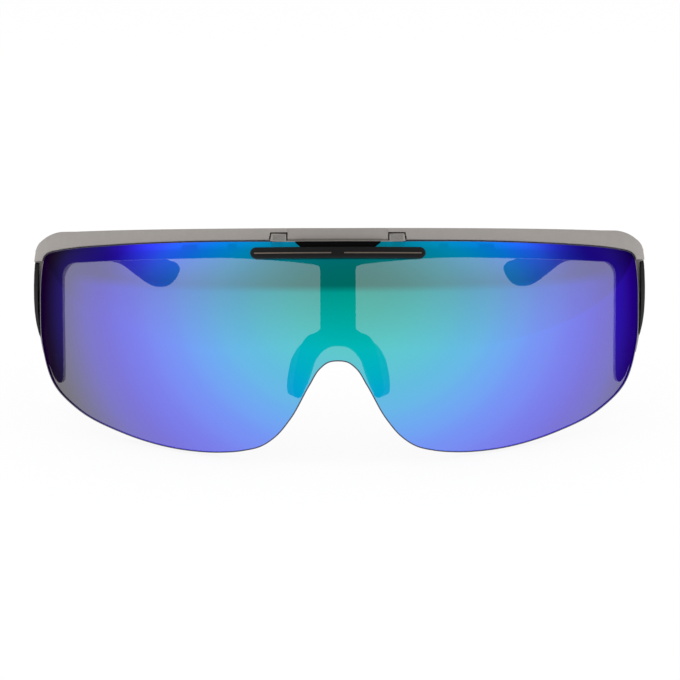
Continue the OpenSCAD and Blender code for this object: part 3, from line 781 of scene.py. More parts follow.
def build_smoke(name, scale, dark, light, rough):
    """The tinted plastic itself, with fine marks."""
    material, tree, shader, where = new_material(name)
    marks = noise(tree, where, scale, 3.0)
    colour = blend_colours(tree, marks, srgb(*dark), srgb(*light))
    feed(shader, {"Base Color": colour, "Roughness": map_range(tree, marks, *rough)})
    return material, tree, shader


def build_smoke_back():
    """The bare inner face: nearly clear, with a gloss."""
    look = (20, 19, 24), (30, 28, 34), (0.04, 0.1)
    material, tree, shader = build_smoke("smoke_back", 120.0, *look)
    behind = node(tree, "ShaderNodeNewGeometry").outputs["Backfacing"]
    feed(shader, {"Alpha": map_range(tree, behind, 0.3, 0.0)})
    return material


def build_lens_rim():
    """The ground edge of the lens, where the smoke tint is deep."""
    return build_smoke("lens_rim", 2500.0, (46, 42, 62), (74, 70, 96), (0.25, 0.45))[0]


mirror_coat = build_mirror_coat()
smoke_back = build_smoke_back()
lens_rim = build_lens_rim()

# %% [markdown]
# ## The shield lens
#
# The lens is one piece from temple to temple with a notch for the nose. Half its outline is
# drawn and mirrored, filled with even triangles and bent onto two balls. It gets three
# materials by face: the coat in front, bare smoke behind, and the ground rim.

# %% Shield lens
LENS_SHARES = [
    (0, 0.002), (0.49, 0.008), (0.75, 0.004), (0.85, 0.001), (0.93, -0.006),
    (0.962, -0.0115), (0.976, -0.018), (0.988, -0.031), (0.994, -0.048), (0.999, -0.08),
    (1.003, -0.13), (1.005, -0.19), (1.005, -0.27), (0.997, -0.5), (0.954, -0.687),
    (0.867, -0.804), (0.705, -0.915), (0.478, -0.994), (0.371, -1), (0.3, -0.99),
    (0.24, -0.966), (0.195, -0.92), (0.148, -0.836), (0.087, -0.674), (0.055, -0.598),
    (0.03, -0.569), (0, -0.562),
]  # fmt: skip
lens_half = sized(LENS_SHARES, LENS_HW, LENS_H)
lens_outline = smooth_ring(np.concatenate([lens_half, mirrored(lens_half[1:-1])]))


def make_lens():
    radii, rounds = (LENS_R, LENS_R - LENS_T), (0.28, 0.22)
    lens = ball_plate("shield_lens_shell", lens_outline, *radii, mirror_coat, rounds, 1.3)
    half = PLATE_W / 2 + LIP_ROOM
    worked(lens, "DIFFERENCE", [box(-half, half, -2, 12, LIP_LOW, 4)])
    dress(lens.data, [mirror_coat, lens_rim, smoke_back], zones_of(lens.data))
    finished(lens, "lens", "mirrored_lens", ["shield_lens"])


make_lens()

# %% [markdown]
# ## The front frame
#
# Behind the lens one moulding joins the brow, a top bar, two side arms and the nose post.
# It is two plates on balls, the wall and the prouder brow, joined and then cut: a recess and
# two slots where the lens's knuckles turn, a pocket for the carrier, and the hinges' seats.

# %% Front frame
ARM_SHARES = [
    (0, -0.31), (0.05, -0.56), (0.2, -0.75), (0.4, -0.885), (0.6, -0.97), (0.78, -1),
    (0.92, -0.98), (0.97, -0.93), (1, -0.83), (1.02, -0.39),
]  # fmt: skip
corner_x = FRAME_HW - CORNER_W
corner_low = BROW_H + BROW_RISE - CORNER_H
SIDE_X = 62.0
INSIDE_TURN = (40, -40)
POCKET_LOW = -4.325
SLOT_SLANT = 0.45
BOSS_H, SEAT_H = 7.6, 6.0
# The painted shade behind the lens reaches this far beyond the lens's edge, and this deep behind
# the wall's face.
SHADE_PAST, SHADE_DEEP = 0.8, 1.6  # beyond the lens's edge, and behind the wall's face


def arc(cx, cz, rx, rz, a0, a1, count):
    turns = np.radians(np.linspace(a0, a1, count))
    return np.stack([cx + rx * np.cos(turns), cz + rz * np.sin(turns)], axis=1)


def strip(half, low, high):
    return np.array([(-half, low), (half, low), (half, high), (-half, high)])


def brow_top():
    x = np.linspace(0, corner_x, 60)[:-1]
    top = np.stack([x, BROW_H + BROW_RISE * (x / corner_x) ** 2], axis=1)
    return np.concatenate([top, arc(corner_x, corner_low, CORNER_W, CORNER_H, 90, 0, 25)])


def brow_side():
    """The brow's outer corner: a soft slant down to the temple's outer face."""
    slant = [(64, 3.97), (66.2, 4.05), (68.3, 3.78), (70.2, 3.2), (71.6, 2.5), (72.8, 1.7)]
    return smooth_curve(slant + [(73.4, 0.9), (73.75, -0.4), (BROW_HW, BROW_END)])


def wall_outline():
    arm = smooth_curve([(FRAME_HW - x * ARM_W, y * ARM_DROP) for x, y in ARM_SHARES])
    arm_in, r = FRAME_HW - ARM_W, 0.45 * ARM_W
    fillet = arc(arm_in - r, -BAR_DROP - r, r, r, 0, 90, 13)
    sag_x, half = 0.4 * LENS_HW, POST_W / 2
    x = np.linspace(sag_x, half, 20)
    sag = np.stack([x, -BAR_DROP - BAR_SAG * (1 - x / sag_x) ** 1.7], axis=1)
    r = 0.12 * POST_W
    joint = arc(half + r, sag[-1][1] - r, r, r, 90, 180, 7)
    half_wall = np.concatenate([brow_top(), arm, fillet, sag[:-1], joint, [(half, -POST_DROP)]])
    return np.concatenate([half_wall, mirrored(half_wall[1:])])


def brow_outline():
    """The band above and beside the lens."""
    top = brow_top()
    outer = np.concatenate([top[top[:, 0] < SIDE_X], brow_side()])
    around = inset(divided(lens_outline, 1.0), -BROW_GAP)
    right = around[(around[:, 1] > BROW_END) & (around[:, 0] > 0)]
    x, z = (right - INSIDE_TURN).T
    right = right[np.argsort(-np.arctan2(x, z))]
    edge = np.interp(BROW_END, right[:8, 1], right[:8, 0])
    whole = np.concatenate([outer, [(edge, BROW_END)], right])
    return np.concatenate([whole, mirrored(whole[1:])])


def recess_profile():
    """Where the lip turns: open in front and above, round below the flip line."""
    turn_r = FLIP_UP - 0.15
    bend = arc(FLIP_BACK, FLIP_UP, turn_r, turn_r, 180, 270, 17)
    return [(-2, -1), (-2, 6), (FLIP_BACK - turn_r, 6), *bend, (FLIP_BACK, -1)]


def carrier_cutters():
    """Room for the lip, the knuckles, their pins and the plate."""
    x0, x1, r = KNUCKLE_IN - ROOM, KNUCKLE_IN + KNUCKLE_W + ROOM, KNUCKLE_R + ROOM
    tools = [prism(recess_profile(), -x0, x0)]
    slot = [(x0, -0.5), (x1 + SLOT_SLANT, -0.5), (x1, FLIP_UP + r), (x0, FLIP_UP + r)]
    tools += both(tube([[(x, y, z) for x, z in slot] for y in (-0.5, FLIP_BACK)]))
    tools += both(prism(circle(r, FLIP_BACK, FLIP_UP), x0, x1))
    tools += both(box(x0, x1, 0.01, FLIP_BACK + r, -0.5, FLIP_UP))
    tools += both(prism(circle(PIN_R, FLIP_BACK, FLIP_UP, 24), x0 - 0.6, x1 + 0.6))
    pocket = strip(PLATE_W / 2 + ROOM, POCKET_LOW, ROOM)
    radii = WALL_R + 0.25, LENS_R - LENS_T - 1.8
    return [*tools, ball_plate("cutter", pocket, *radii, None, (0, 0))]


def hinge_cutters():
    """Room behind the hinge line, for the leaf's seat and for the barrel's groove."""
    tools = both(box(0, 160, -0.6, 90, -45, 45, from_temple))
    seat_start = -FRAME_LEAF_L - BARREL_R
    seat = BOSS_X - 6, BOSS_X, seat_start, 0.2, -SEAT_H / 2, SEAT_H / 2
    tools += both(box(*seat, from_temple))
    groove = circle(BARREL_R + 0.05, FOLD_X, 0, 40)
    ends = -BARREL_H / 2 - 0.15, BARREL_H / 2 + 0.65
    return tools + both(tube([[(x, u, w) for x, u in groove] for w in ends], from_temple))


def paint_shade_behind_lens(mesh):
    """Painted shade: matt near black on the wall's front face, where the lens covers it and
    little light reaches.
    """
    centre = Vector((0, LENS_R, -BELLY_DROP))
    middles = np.array([p.center for p in mesh.polygons])
    front = np.array([p.normal.dot((p.center - centre).normalized()) for p in mesh.polygons])
    deep = WALL_R - np.linalg.norm(middles - centre, axis=1)
    covered = inside(middles[:, [0, 2]], inset(divided(lens_outline, 1.0), -SHADE_PAST))
    black = covered & (front > 0.2) & (deep > -0.1) & (deep < SHADE_DEEP)
    dress(mesh, [grey_plastic, matt_backing], black)
    print("backing faces", int(black.sum()))


def filled_ball(radius):
    """The front's ball as a tool, about the centre of the lens."""

    def add(work):
        bmesh.ops.create_uvsphere(work, u_segments=160, v_segments=80, radius=radius)
        bmesh.ops.translate(work, verts=work.verts, vec=(0, LENS_R, -BELLY_DROP))

    return new_object("ball", edited(bpy.data.meshes.new("ball"), add))


def make_front_frame():
    radii, rounds = (WALL_R, WALL_BACK_R), (0.3, 0.5)
    wall = ball_plate("front_frame_moulding", wall_outline(), *radii, grey_plastic, rounds)
    radii, rounds = (BROW_R, WALL_BACK_R + 0.03), (0.45, 0.5)
    brow = ball_plate("brow", brow_outline(), *radii, grey_plastic, rounds)
    along = -FRAME_LEAF_L - BARREL_R, -BARREL_R - 0.15
    boss = box(BOSS_X, FRAME_HW, *along, -BOSS_H / 2, BOSS_H / 2, from_temple)
    worked(boss, "INTERSECT", [filled_ball(WALL_R - 0.02)])
    worked(wall, "UNION", [brow, *both(boss)])
    worked(wall, "DIFFERENCE", carrier_cutters() + hinge_cutters())
    paint_shade_behind_lens(wall.data)
    finished(wall, "front", "grey_plastic", ["front_frame"])


make_front_frame()

# %% [markdown]
# ## The carrier
#
# Behind the lens sits the part that turns: a plate on the lens's ball, a lip over the lens's
# top edge, and two knuckles that fill the slots of the brow. A knuckle is a profile carried
# along the hinge's line, so a prism with softened edges makes it, and its front face gets a
# sunk panel with a coarse grain for the finger.

# %% Lens carrier
PANEL = (0.25, 0.22, 1.5, 0.05)  # in from the sides, bottom, top, depth
PLATE_LOW, PLATE_CORNER = -3.72, 0.9
HEAD_R, BORE_R, SEAT_DEEP = 0.87, 0.5, 0.5
KNUCKLE_SLANT, KNUCKLE_ROUND = 0.28, 90 - math.degrees(0.15)


def knuckle():
    x0, x1 = KNUCKLE_IN, KNUCKLE_IN + KNUCKLE_W
    front, back, top = FLIP_BACK - KNUCKLE_R, FLIP_BACK + KNUCKLE_R, FLIP_UP + KNUCKLE_R
    profile = [(back, 0.0), (front, 0.05), (front, top - 0.34), (front + 0.1, top - 0.1)]
    round_back = arc(FLIP_BACK, FLIP_UP, KNUCKLE_R, KNUCKLE_R, KNUCKLE_ROUND, 0, 12)
    made = prism([*profile, (front + 0.34, top), (FLIP_BACK, top), *round_back], x0, x1)
    for v in made.data.vertices:
        v.co.x += KNUCKLE_SLANT * (1 - v.co.z / top) if v.co.x > x1 - 0.1 else 0
    softened(made, 0.07)
    side, low, high, deep = PANEL
    panel = softened(box(x0 + side, x1 - side, front - 1, front + deep, low, high), 0.03)
    return worked(made, "DIFFERENCE", [panel])


def make_carrier():
    lens_back, back, half = LENS_R - LENS_T, LENS_R - LENS_T - PLATE_T, PLATE_W / 2
    r = PLATE_CORNER
    corners = arc(half - r, PLATE_LOW + r, r, r, 0, -90, 9)
    plate = np.concatenate([[(half, LIP_TOP - 0.02)], corners])
    plate = np.concatenate([plate, mirrored(plate)])
    look, rounds = grey_plastic, (0.08, 0.3)
    carrier = ball_plate("lens_carrier_plate", plate, lens_back - 0.01, back, look, rounds, 0.8)
    lip = strip(half, LIP_LOW + 0.01, LIP_TOP)
    lip = ball_plate("lip", lip, LENS_R, back + 0.35, look, (0.05, 0), 0.5)
    worked(carrier, "UNION", [lip, *both(knuckle())])
    bore = circle(PIN_R + 0.03, FLIP_BACK, FLIP_UP, 32)
    holes = both(prism(bore, KNUCKLE_IN - 0.5, KNUCKLE_IN + KNUCKLE_W + 0.5))
    holes += [screw_hole(side * CLIP_SCREW_X, CLIP_SCREW_Z) for side in (-1, 1)]
    worked(carrier, "DIFFERENCE", holes)
    _, low, high, deep = PANEL
    face = FLIP_BACK - KNUCKLE_R + 0.5 * deep

    def in_panel(p):
        x, y, z = p.center
        sunk = face < y < face + deep and low < z < high
        return sunk and p.normal.y < -0.9 and abs(x) > KNUCKLE_IN

    dress(carrier.data, [look, tab_grain], [in_panel(p) for p in carrier.data.polygons])
    finished(carrier, "lens", "grey_plastic", ["lens_carrier"])


def screw_hole(x, z):
    """A bore along Y with a wider seat for the head."""
    seat = SEAT_Y - SEAT_DEEP
    rings = [(-1, BORE_R), (seat, BORE_R), (seat, HEAD_R), (9, HEAD_R)]
    return tube([[(a, y, b) for a, b in circle(r, x, z, 32)] for y, r in rings])


CLIP_SCREW_X, CLIP_SCREW_Z = 0.4 * PLATE_W, -2.475
SEAT_Y = ball_depth(LENS_R - LENS_T - PLATE_T, CLIP_SCREW_X, CLIP_SCREW_Z)
make_carrier()

# %% [markdown]
# ## The clip bar
#
# A black bar clamps the lens to its carrier, with a wedge-shaped key above its middle and
# two satin strips let into its face. The bar's ends are round and its rim is softened.

# %% Clip bar and strips
INLAY_X, INLAY_Z = (1.4, 18.4), (CLIP_MID - 0.19, CLIP_MID + 0.09)
KEY = [(-9.45, -0.05), (9.45, -0.05), (7.8, -1.6), (-7.8, -1.6)]
FACE_R = LENS_R + CLIP_T


def clip_outline():
    r = CLIP_H / 2
    end = arc(CLIP_W / 2 - r, CLIP_MID, r, r, 90, -90, 25)
    return np.concatenate([end, mirrored(end)])


def inlay_outline(grow=0.0):
    (x0, x1), (z0, z1), g = INLAY_X, INLAY_Z, grow
    return np.array([(x0 - g, z0 - g), (x1 + g, z0 - g), (x1 + g, z1 + g), (x0 - g, z1 + g)])


def make_clip_bar():
    look, rounds = black_plastic, (0.4, 0.1)
    bar = ball_plate("clip_bar_body", clip_outline(), FACE_R, LENS_R + 0.01, look, rounds, 0.8)
    radii = FACE_R - 0.5, LENS_R + 0.02
    key = ball_plate("key", np.array(KEY), *radii, look, (0.12, 0), 0.8)
    worked(bar, "UNION", [key])
    radii = FACE_R + 0.5, FACE_R - 0.4
    slot = ball_plate("cutter", inlay_outline(0.02), *radii, None, (0, 0), 0.8)
    worked(bar, "DIFFERENCE", both(slot))
    # The key sits sunk behind the bar's face; its faces wear the near-black finish as painted
    # shade for the dark of that recess.
    key_low = CLIP_MID + CLIP_H / 2 + 0.02
    dress(bar.data, [look, matt_backing], [p.center.z > key_low for p in bar.data.polygons])
    finished(bar, "lens", "black_plastic", ["clip_bar"])


def make_inlays():
    radii, rounds = (FACE_R + 0.05, FACE_R - 0.38), (0.06, 0.03)
    left = ball_plate("inlay_strip_left", inlay_outline(), *radii, satin_strip, rounds, 0.4)
    right = other_side(left)
    for piece, side in ((left, "left"), (right, "right")):
        finished(piece, "lens", "satin_strip", ["inlay_" + side])


make_clip_bar()
make_inlays()

# %% [markdown]
# ## The temples
#
# Each temple is tall at the hinge and slims to a thin bar, then ends in a rubber tip. In
# side view it is an outline, in plan it follows a curve that leans in behind the ear, and
# its outer face is crowned from top to bottom. A plate with its own placing rule makes it.

# %% The temple's rule
PLAN_SHARES = [
    (-0.02, 0), (0.1, 0.0025), (0.21, 0.0025), (0.34, -0.004), (0.46, -0.018),
    (0.59, -0.041), (0.71, -0.068), (0.81, -0.095), (0.9, -0.131), (0.96, -0.161),
    (1, -0.182), (1.04, -0.203),
]  # fmt: skip
ROOT_MID = ROOT_IN + ROOT_T / 2
plan_line = smooth_curve([(u * TEMPLE_L, ROOT_MID + x * TEMPLE_L) for u, x in PLAN_SHARES])
CROWN_R, CROWN_MID = 92.0, 0.15 * ROOT_H
CROWN_OUT = ROOT_IN + ROOT_T + 0.0025 * TEMPLE_L
CROWN_BLEND = 0.15
SLIM_BY = 0.45
TIP_HALF = 1.65


def plan_at(u):
    """Where the middle line is, and how much wider a slanted wall measures along X."""
    x = np.interp(u, plan_line[:, 0], plan_line[:, 1])
    slope = np.gradient(plan_line[:, 1], plan_line[:, 0])
    return x, np.sqrt(1 + np.interp(u, plan_line[:, 0], slope) ** 2)


def eased(s):
    """From 0 to 1 with a level start and end."""
    s = np.clip(s, 0, 1)
    return (3 - 2 * s) * s * s


def arm_thickness(u):
    return ROOT_T + (SLIM_T - ROOT_T) * eased(u / TEMPLE_L / SLIM_BY)


def arm_outer(u, w):
    """The lesser of the flat face and the crown, blended where they meet."""
    x, wider = plan_at(u)
    flat = x + arm_thickness(u) / 2 * wider
    crown = CROWN_OUT - CROWN_R + np.sqrt(CROWN_R**2 - (w - CROWN_MID) ** 2)
    return -CROWN_BLEND * np.logaddexp(-flat / CROWN_BLEND, -crown / CROWN_BLEND)


def stood(x, u, w):
    return np.array([from_temple(p) for p in np.stack([x, u, w], axis=1)])


def arm_place(inner_drop=None):
    """Placing rule of the arm, or of a plate let into its outer face."""

    def place(points, side, depth):
        u, w = points.T
        x, wider = plan_at(u)
        half = arm_thickness(u) / 2 * wider
        inner = x - half if inner_drop is None else x + half - inner_drop
        return stood(np.where(side, inner + depth, arm_outer(u, w) - depth), u, w)

    return place


def tip_place(points, side, depth):
    u, w = points.T
    x, wider = plan_at(u)
    return stood(x + (TIP_HALF - depth) * (-1 if side else 1) * wider, u, w)


# %% Temple outlines
TOP_SHARES = [
    (-0.02, 0.41), (0.03, 0.435), (0.09, 0.454), (0.2, 0.473), (0.34, 0.494), (0.46, 0.481),
    (0.59, 0.457), (0.7, 0.422),
]  # fmt: skip
BOTTOM_SHARES = [
    (-0.02, -0.55), (0.03, -0.536), (0.065, -0.466), (0.12, -0.27), (0.17, -0.083),
    (0.23, 0.09), (0.305, 0.18), (0.38, 0.207), (0.46, 0.214), (0.59, 0.188), (0.7, 0.13),
]  # fmt: skip
TIP_SHARES = [
    (0.69, 0.434), (0.75, 0.41), (0.82, 0.325), (0.9, 0.185), (0.96, 0.083), (0.99, 0.04),
    (1, -0.02), (0.996, -0.075), (0.984, -0.137), (0.967, -0.187), (0.946, -0.214),
    (0.925, -0.207), (0.9, -0.172), (0.85, -0.075), (0.78, 0.052), (0.73, 0.108),
    (0.69, 0.13),
]  # fmt: skip
INSERT_SHARES = [
    (0.009, -0.42), (0.009, 0.33), (0.03, 0.348), (0.12, 0.352), (0.25, 0.352), (0.36, 0.35),
    (0.43, 0.34), (0.36, 0.29), (0.28, 0.225), (0.2, 0.085), (0.14, -0.1), (0.09, -0.27),
    (0.05, -0.39), (0.02, -0.44),
]  # fmt: skip
ARM_START, TIP_START = -0.45, 0.7 * TEMPLE_L
END_ROOM, TIP_ROOM = 0.9, 1.2


def arm_edge(shares):
    """The arm's top or bottom edge, with clear room at both of its ends."""
    curve = smooth_curve(sized(shares, TEMPLE_L, ROOT_H))
    u = curve[:, 0]
    kept = curve[(u > ARM_START + END_ROOM) & (u < TIP_START - END_ROOM)]
    return np.concatenate([[(ARM_START, np.interp(ARM_START, *curve.T))], kept, curve[-1:]])


def arm_outline():
    return np.concatenate([arm_edge(TOP_SHARES), arm_edge(BOTTOM_SHARES)[::-1]])


def tip_outline():
    whole = smooth_curve(sized(TIP_SHARES, TEMPLE_L, ROOT_H))
    kept = whole[whole[:, 0] >= TIP_START + TIP_ROOM]
    top, low = whole[: len(whole) // 3], whole[-len(whole) // 4 :][::-1]
    first, end = [(TIP_START, np.interp(TIP_START, *part.T)) for part in (top, low)]
    return np.concatenate([[first], kept, [end]])


def insert_outline(grow=0.0):
    ring = divided(smooth_ring(sized(INSERT_SHARES, TEMPLE_L, ROOT_H), 8), 1.0)
    return inset(ring, -grow) if grow else ring


def temple_piece(name, material, outline, place, rounds, spacing=1.1):
    mesh = plate_mesh(name, outline, place, *rounds, spacing)
    mesh.materials.append(material)
    return new_object(name, mesh)


def lift_outer(mesh, rise):
    """Moves a plate's outer face outwards, clear of what it cuts."""
    faces = zip(mesh.polygons, zones_of(mesh))
    for v in {v for face, zone in faces if zone == 0 for v in face.vertices}:
        mesh.vertices[v].co.x += rise


def make_pocket():
    """What the side insert is let into, open outwards."""
    pocket = temple_piece("cutter", grey_plastic, insert_outline(0.06), arm_place(1.0), (0, 0))
    lift_outer(pocket.data, 0.6)
    return pocket


def make_temples():
    shape = arm_outline(), arm_place(), (0.7, 0.6)
    arm = temple_piece("temple_arm_moulding_left", grey_plastic, *shape)
    worked(arm, "DIFFERENCE", [make_pocket()])
    shape = insert_outline(), arm_place(0.98), (0.12, 0.05)
    insert = temple_piece("side_insert_plate_left", black_insert, *shape)
    shape = tip_outline(), tip_place, (1.15, 1.15), 1.0
    tip = temple_piece("temple_tip_sleeve_left", soft_rubber, *shape)
    slots = {"temple_arm_": "grey_plastic", "side_insert_": "black_insert"}
    slots["temple_tip_"] = "soft_rubber"
    for piece, (node_name, slot) in zip((arm, insert, tip), slots.items()):
        for obj, side in ((other_side(piece), "right"), (piece, "left")):
            finished(obj, "temple_" + side, slot, [node_name + side])


make_temples()

# %% [markdown]
# ## The nose saddle
#
# A soft saddle hangs on the nose post, and its two legs turn outwards into pads. Rubber has
# no sharp inner corners, so the legs and pads are joined, rebuilt by a voxel remesh and
# smoothed, and the slot for the post is cut last.

# %% Nose saddle
SADDLE_SHARES = [
    (0.3, -0.475), (0.32, -0.556), (0.42, -0.583), (0.56, -0.602), (0.67, -0.645),
    (0.76, -0.73), (0.83, -0.84), (0.87, -0.915), (0.87, -0.96), (0.83, -0.995),
    (0.77, -1.003), (0.69, -0.965), (0.54, -0.855), (0.39, -0.746), (0.28, -0.703),
    (0.13, -0.676), (0, -0.673),
]  # fmt: skip
PAD_SHARES = [
    (0.44, -0.73), (0.48, -0.67), (0.56, -0.635), (0.65, -0.66), (0.735, -0.735), (0.8, -0.83),
    (0.84, -0.92), (0.84, -0.97), (0.8, -1.01), (0.74, -1.01), (0.66, -0.965), (0.52, -0.855),
]  # fmt: skip
SADDLE_HW, SADDLE_DROP = 11.7, 34.3
PAD_DEPTH, PAD_SPLAY, PAD_TOP = 11.0, math.radians(16), 19
PAD_TURN = (0.785, 0.8)  # shares of the half width and the drop
PAD_EASE, PAD_TAPER, TAPER_Z = 8, 0.007, 0.63
LEG_DEEP = 1.25


def make_pad():
    """A pad leans outwards about the leg, which it leaves at the wall's back."""
    x0 = SADDLE_HW * PAD_TURN[0]
    y0 = ball_depth(WALL_BACK_R, x0, -SADDLE_DROP * PAD_TURN[1])
    front = y0 - LEG_DEEP
    back = front + PAD_DEPTH - 2 * LEG_DEEP

    def place(points, side, depth):
        x, z = points.T
        y = np.where(side, back - depth, front + depth)
        lean = (y - y0) * math.tan(PAD_SPLAY) * eased((-z - PAD_TOP) / PAD_EASE)
        z = z - PAD_TAPER * np.maximum(y - y0, 0) * (z + TAPER_Z * SADDLE_DROP)
        return np.stack([x0 + (x - x0) * math.cos(PAD_SPLAY) + lean, y, z], axis=1)

    ring = smooth_ring(sized(PAD_SHARES, SADDLE_HW, SADDLE_DROP), 6)
    return temple_piece("pad", soft_rubber, ring, place, (0.3, 0.8), 0.7)


def make_saddle():
    half = sized(SADDLE_SHARES, SADDLE_HW, SADDLE_DROP)
    outline = smooth_ring(np.concatenate([half, mirrored(half[:-1])]), 6)
    radii, rounds = (WALL_R, WALL_BACK_R - LEG_DEEP), (0.7, 0.9)
    saddle = ball_plate("nose_saddle_rubber", outline, *radii, soft_rubber, rounds, 0.7)
    worked(saddle, "UNION", both(make_pad()))
    remesh = saddle.modifiers.new("even", "REMESH")
    remesh.mode, remesh.voxel_size = "VOXEL", 0.28
    relax = saddle.modifiers.new("relax", "SMOOTH")
    relax.factor, relax.iterations = 0.5, 16
    baked(saddle)
    slot = strip(3.6, -POST_DROP, 0)
    slot = ball_plate("cutter", slot, WALL_R + 0.5, WALL_BACK_R, None, (0, 0))
    worked(saddle, "DIFFERENCE", [slot])
    dress(saddle.data, [soft_rubber], np.zeros(len(saddle.data.polygons)))
    finished(saddle, "front", "soft_rubber", ["nose_saddle"], 50)


make_saddle()

# %% [markdown]
# ## The screws
#
# Twelve screws hold the leaves, the hinges and the carrier. They differ only in a few sizes,
# so one Geometry Nodes tree turns them all: a head whose rim is rolled over, a shank joined
# under it and a slot cut across it. Each screw is a point with an axis, and stands on its
# point, turned by chance to where the last twist left its slot.

# %% The screw tree
RIM_ROLL, RIM_POWER = 0.16, 5.0
SLOT_REACH = 6.0


def raised(tree, geometry, height):
    lift = {"Geometry": geometry, "Translation": xyz(tree, Z=height)}
    return output(tree, "GeometryNodeTransform", lift)


def cylinder(tree, diameter, depth, low):
    size = {"Vertices": 32, "Side Segments": 5, "Radius": calc("DIVIDE", diameter, 2.0)}
    made = output(tree, "GeometryNodeMeshCylinder", size | {"Depth": depth})
    return raised(tree, made, plus(low, calc("DIVIDE", depth, 2.0)))


def rolled_rim(tree, head, high):
    """The head's rim drawn in towards its top."""
    place = output(tree, "GeometryNodeInputPosition")
    share = calc("MAXIMUM", calc("DIVIDE", parts_of(tree, place)["Z"], high), 0.0)
    narrow = minus(1.0, times(calc("POWER", share, RIM_POWER), RIM_ROLL))
    shrink = {0: place, 1: xyz(tree, X=narrow, Y=narrow, Z=1.0)}
    rolled = output(tree, "ShaderNodeVectorMath", shrink, operation="MULTIPLY")
    return output(tree, "GeometryNodeSetPosition", {"Geometry": head, "Position": rolled})


def mesh_boolean(tree, operation, parts):
    made = node(tree, "GeometryNodeMeshBoolean", operation=operation, solver="MANIFOLD")
    for part, label in parts:
        tree.links.new(part, made.inputs[label])
    return made.outputs["Mesh"]


def screw_rotation(tree):
    """Each screw stands along its point's axis, turned by chance about it."""
    label = {"Name": "axis"}
    axis = output(tree, "GeometryNodeInputNamedAttribute", label, data_type="FLOAT_VECTOR")
    stand = output(tree, "FunctionNodeAlignRotationToVector", {"Vector": axis}, axis="Z")
    chance = node(tree, "FunctionNodeRandomValue", {"Seed": 7, 3: math.pi}, data_type="FLOAT")
    turn = {"Axis": (0, 0, 1), "Angle": chance.outputs[1]}
    turn = output(tree, "FunctionNodeAxisAngleToRotation", turn)
    return output(tree, "FunctionNodeRotateRotation", {0: stand, 1: turn}, rotation_space="LOCAL")


def build_screw_tree():
    sizes = {"Head Diameter": 1.7, "Head Height": 0.45, "Shank Diameter": 1.0}
    sizes |= {"Shank Length": 2.5, "Slot Width": 0.25}
    tree, given = geometry_tree("slotted_screws", sizes)
    high, length = given["Head Height"], given["Shank Length"]
    head = rolled_rim(tree, cylinder(tree, given["Head Diameter"], high, 0.0), high)
    low = times(length, -1.0)
    shank = cylinder(tree, given["Shank Diameter"], plus(length, 0.1), low)
    screw = mesh_boolean(tree, "UNION", [(shank, "Mesh 2"), (head, "Mesh 2")])
    size = xyz(tree, X=SLOT_REACH, Y=given["Slot Width"], Z=high)
    slot = raised(tree, output(tree, "GeometryNodeMeshCube", {"Size": size}), high)
    screw = mesh_boolean(tree, "DIFFERENCE", [(screw, "Mesh 1"), (slot, "Mesh 2")])
    points = {"Points": given["Geometry"], "Instance": screw, "Rotation": screw_rotation(tree)}
    placed = output(tree, "GeometryNodeInstanceOnPoints", points)
    return finish_tree(tree, placed, given["Material"])


SCREW_TREE = build_screw_tree()
print("screw tree", len(SCREW_TREE.nodes), "nodes")

# %% Screws in their places
SIZES = ("Head Diameter", "Head Height", "Shank Diameter", "Shank Length", "Slot Width")
FRAME_SCREW = (1.7, 0.48, 0.98, LEAF_T + 1.6, 0.24)
TEMPLE_SCREW = (1.7, 0.48, 0.98, LEAF_T + 2.4, 0.24)
HINGE_SCREW = (2.2, 0.48, 1.18, BARREL_H, 0.3)
CLIP_SCREW = (1.7, 0.44, 0.98, 3.6, 0.24)
FOLD_UP = Vector((0, -math.sin(TEMPLE_RISE), math.cos(TEMPLE_RISE)))


def screws(name, body, replaced, sizes, places):
    """Screws of one kind; places holds (where the head sits, which way it faces)."""
    spots, axes = zip(*places)
    mesh = bpy.data.meshes.new(name)
    mesh.from_pydata(spots, [], [])
    axis = mesh.attributes.new("axis", "FLOAT_VECTOR", "POINT")
    axis.data.foreach_set("vector", np.array(axes, float).ravel())
    inputs = dict(zip(SIZES, sizes)) | {"Material": steel}
    made = through_tree(new_object(name, mesh), SCREW_TREE, inputs)
    finished(made, body, "steel", [replaced], 30)


def leaf_places(side, x, spots):
    return [(from_temple((side * x, u, w)), (-side, 0, 0)) for u, w in spots]


frame_u = -BARREL_R - 0.6 * FRAME_LEAF_L
frame_spots = [(frame_u, -SCREW_UP), (frame_u, SCREW_UP)]
temple_spots = [(BARREL_R + 0.15 + share * TEMPLE_LEAF_L, 0) for share in (0.4, 0.8)]
seats = [place for side in (-1, 1) for place in leaf_places(side, BOSS_X - LEAF_T, frame_spots)]
screws("frame_leaf_screw_set", "front", "frame_leaf_screws", FRAME_SCREW, seats)
for side, label in ((1, "left"), (-1, "right")):
    seats, name = leaf_places(side, ROOT_IN - LEAF_T, temple_spots), "temple_leaf_screw"
    screws(f"{name}_set_{label}", "temple_" + label, f"{name}s_{label}", TEMPLE_SCREW, seats)
    seats = [(from_temple((side * FOLD_X, 0, BARREL_H / 2)), FOLD_UP)]
    screws("hinge_screw_turned_" + label, "front", "hinge_screw_" + label, HINGE_SCREW, seats)
seat = SEAT_Y - SEAT_DEEP
seats = [((side * CLIP_SCREW_X, seat, CLIP_SCREW_Z), (0, 1, 0)) for side in (-1, 1)]
screws("clip_screw_set", "lens", "clip_screws", CLIP_SCREW, seats)

# %% [markdown]
# ## Kept solids
#
# The hinge leaves, the pins and the bumpers are already the right shape, so they stay as
# the CAD made them and only get their finishes.

# %% Finishes of the kept solids
KEPT = {"lens_bumpers": soft_rubber, "flip_pins": dark_steel}
for side in ("left", "right"):
    KEPT |= {"hinge_leaf_frame_" + side: hinge_metal, "hinge_leaf_temple_" + side: hinge_metal}
for name, material in KEPT.items():
    dress(frame["nodes"][name].data, [material])
print("kept", sorted(KEPT))

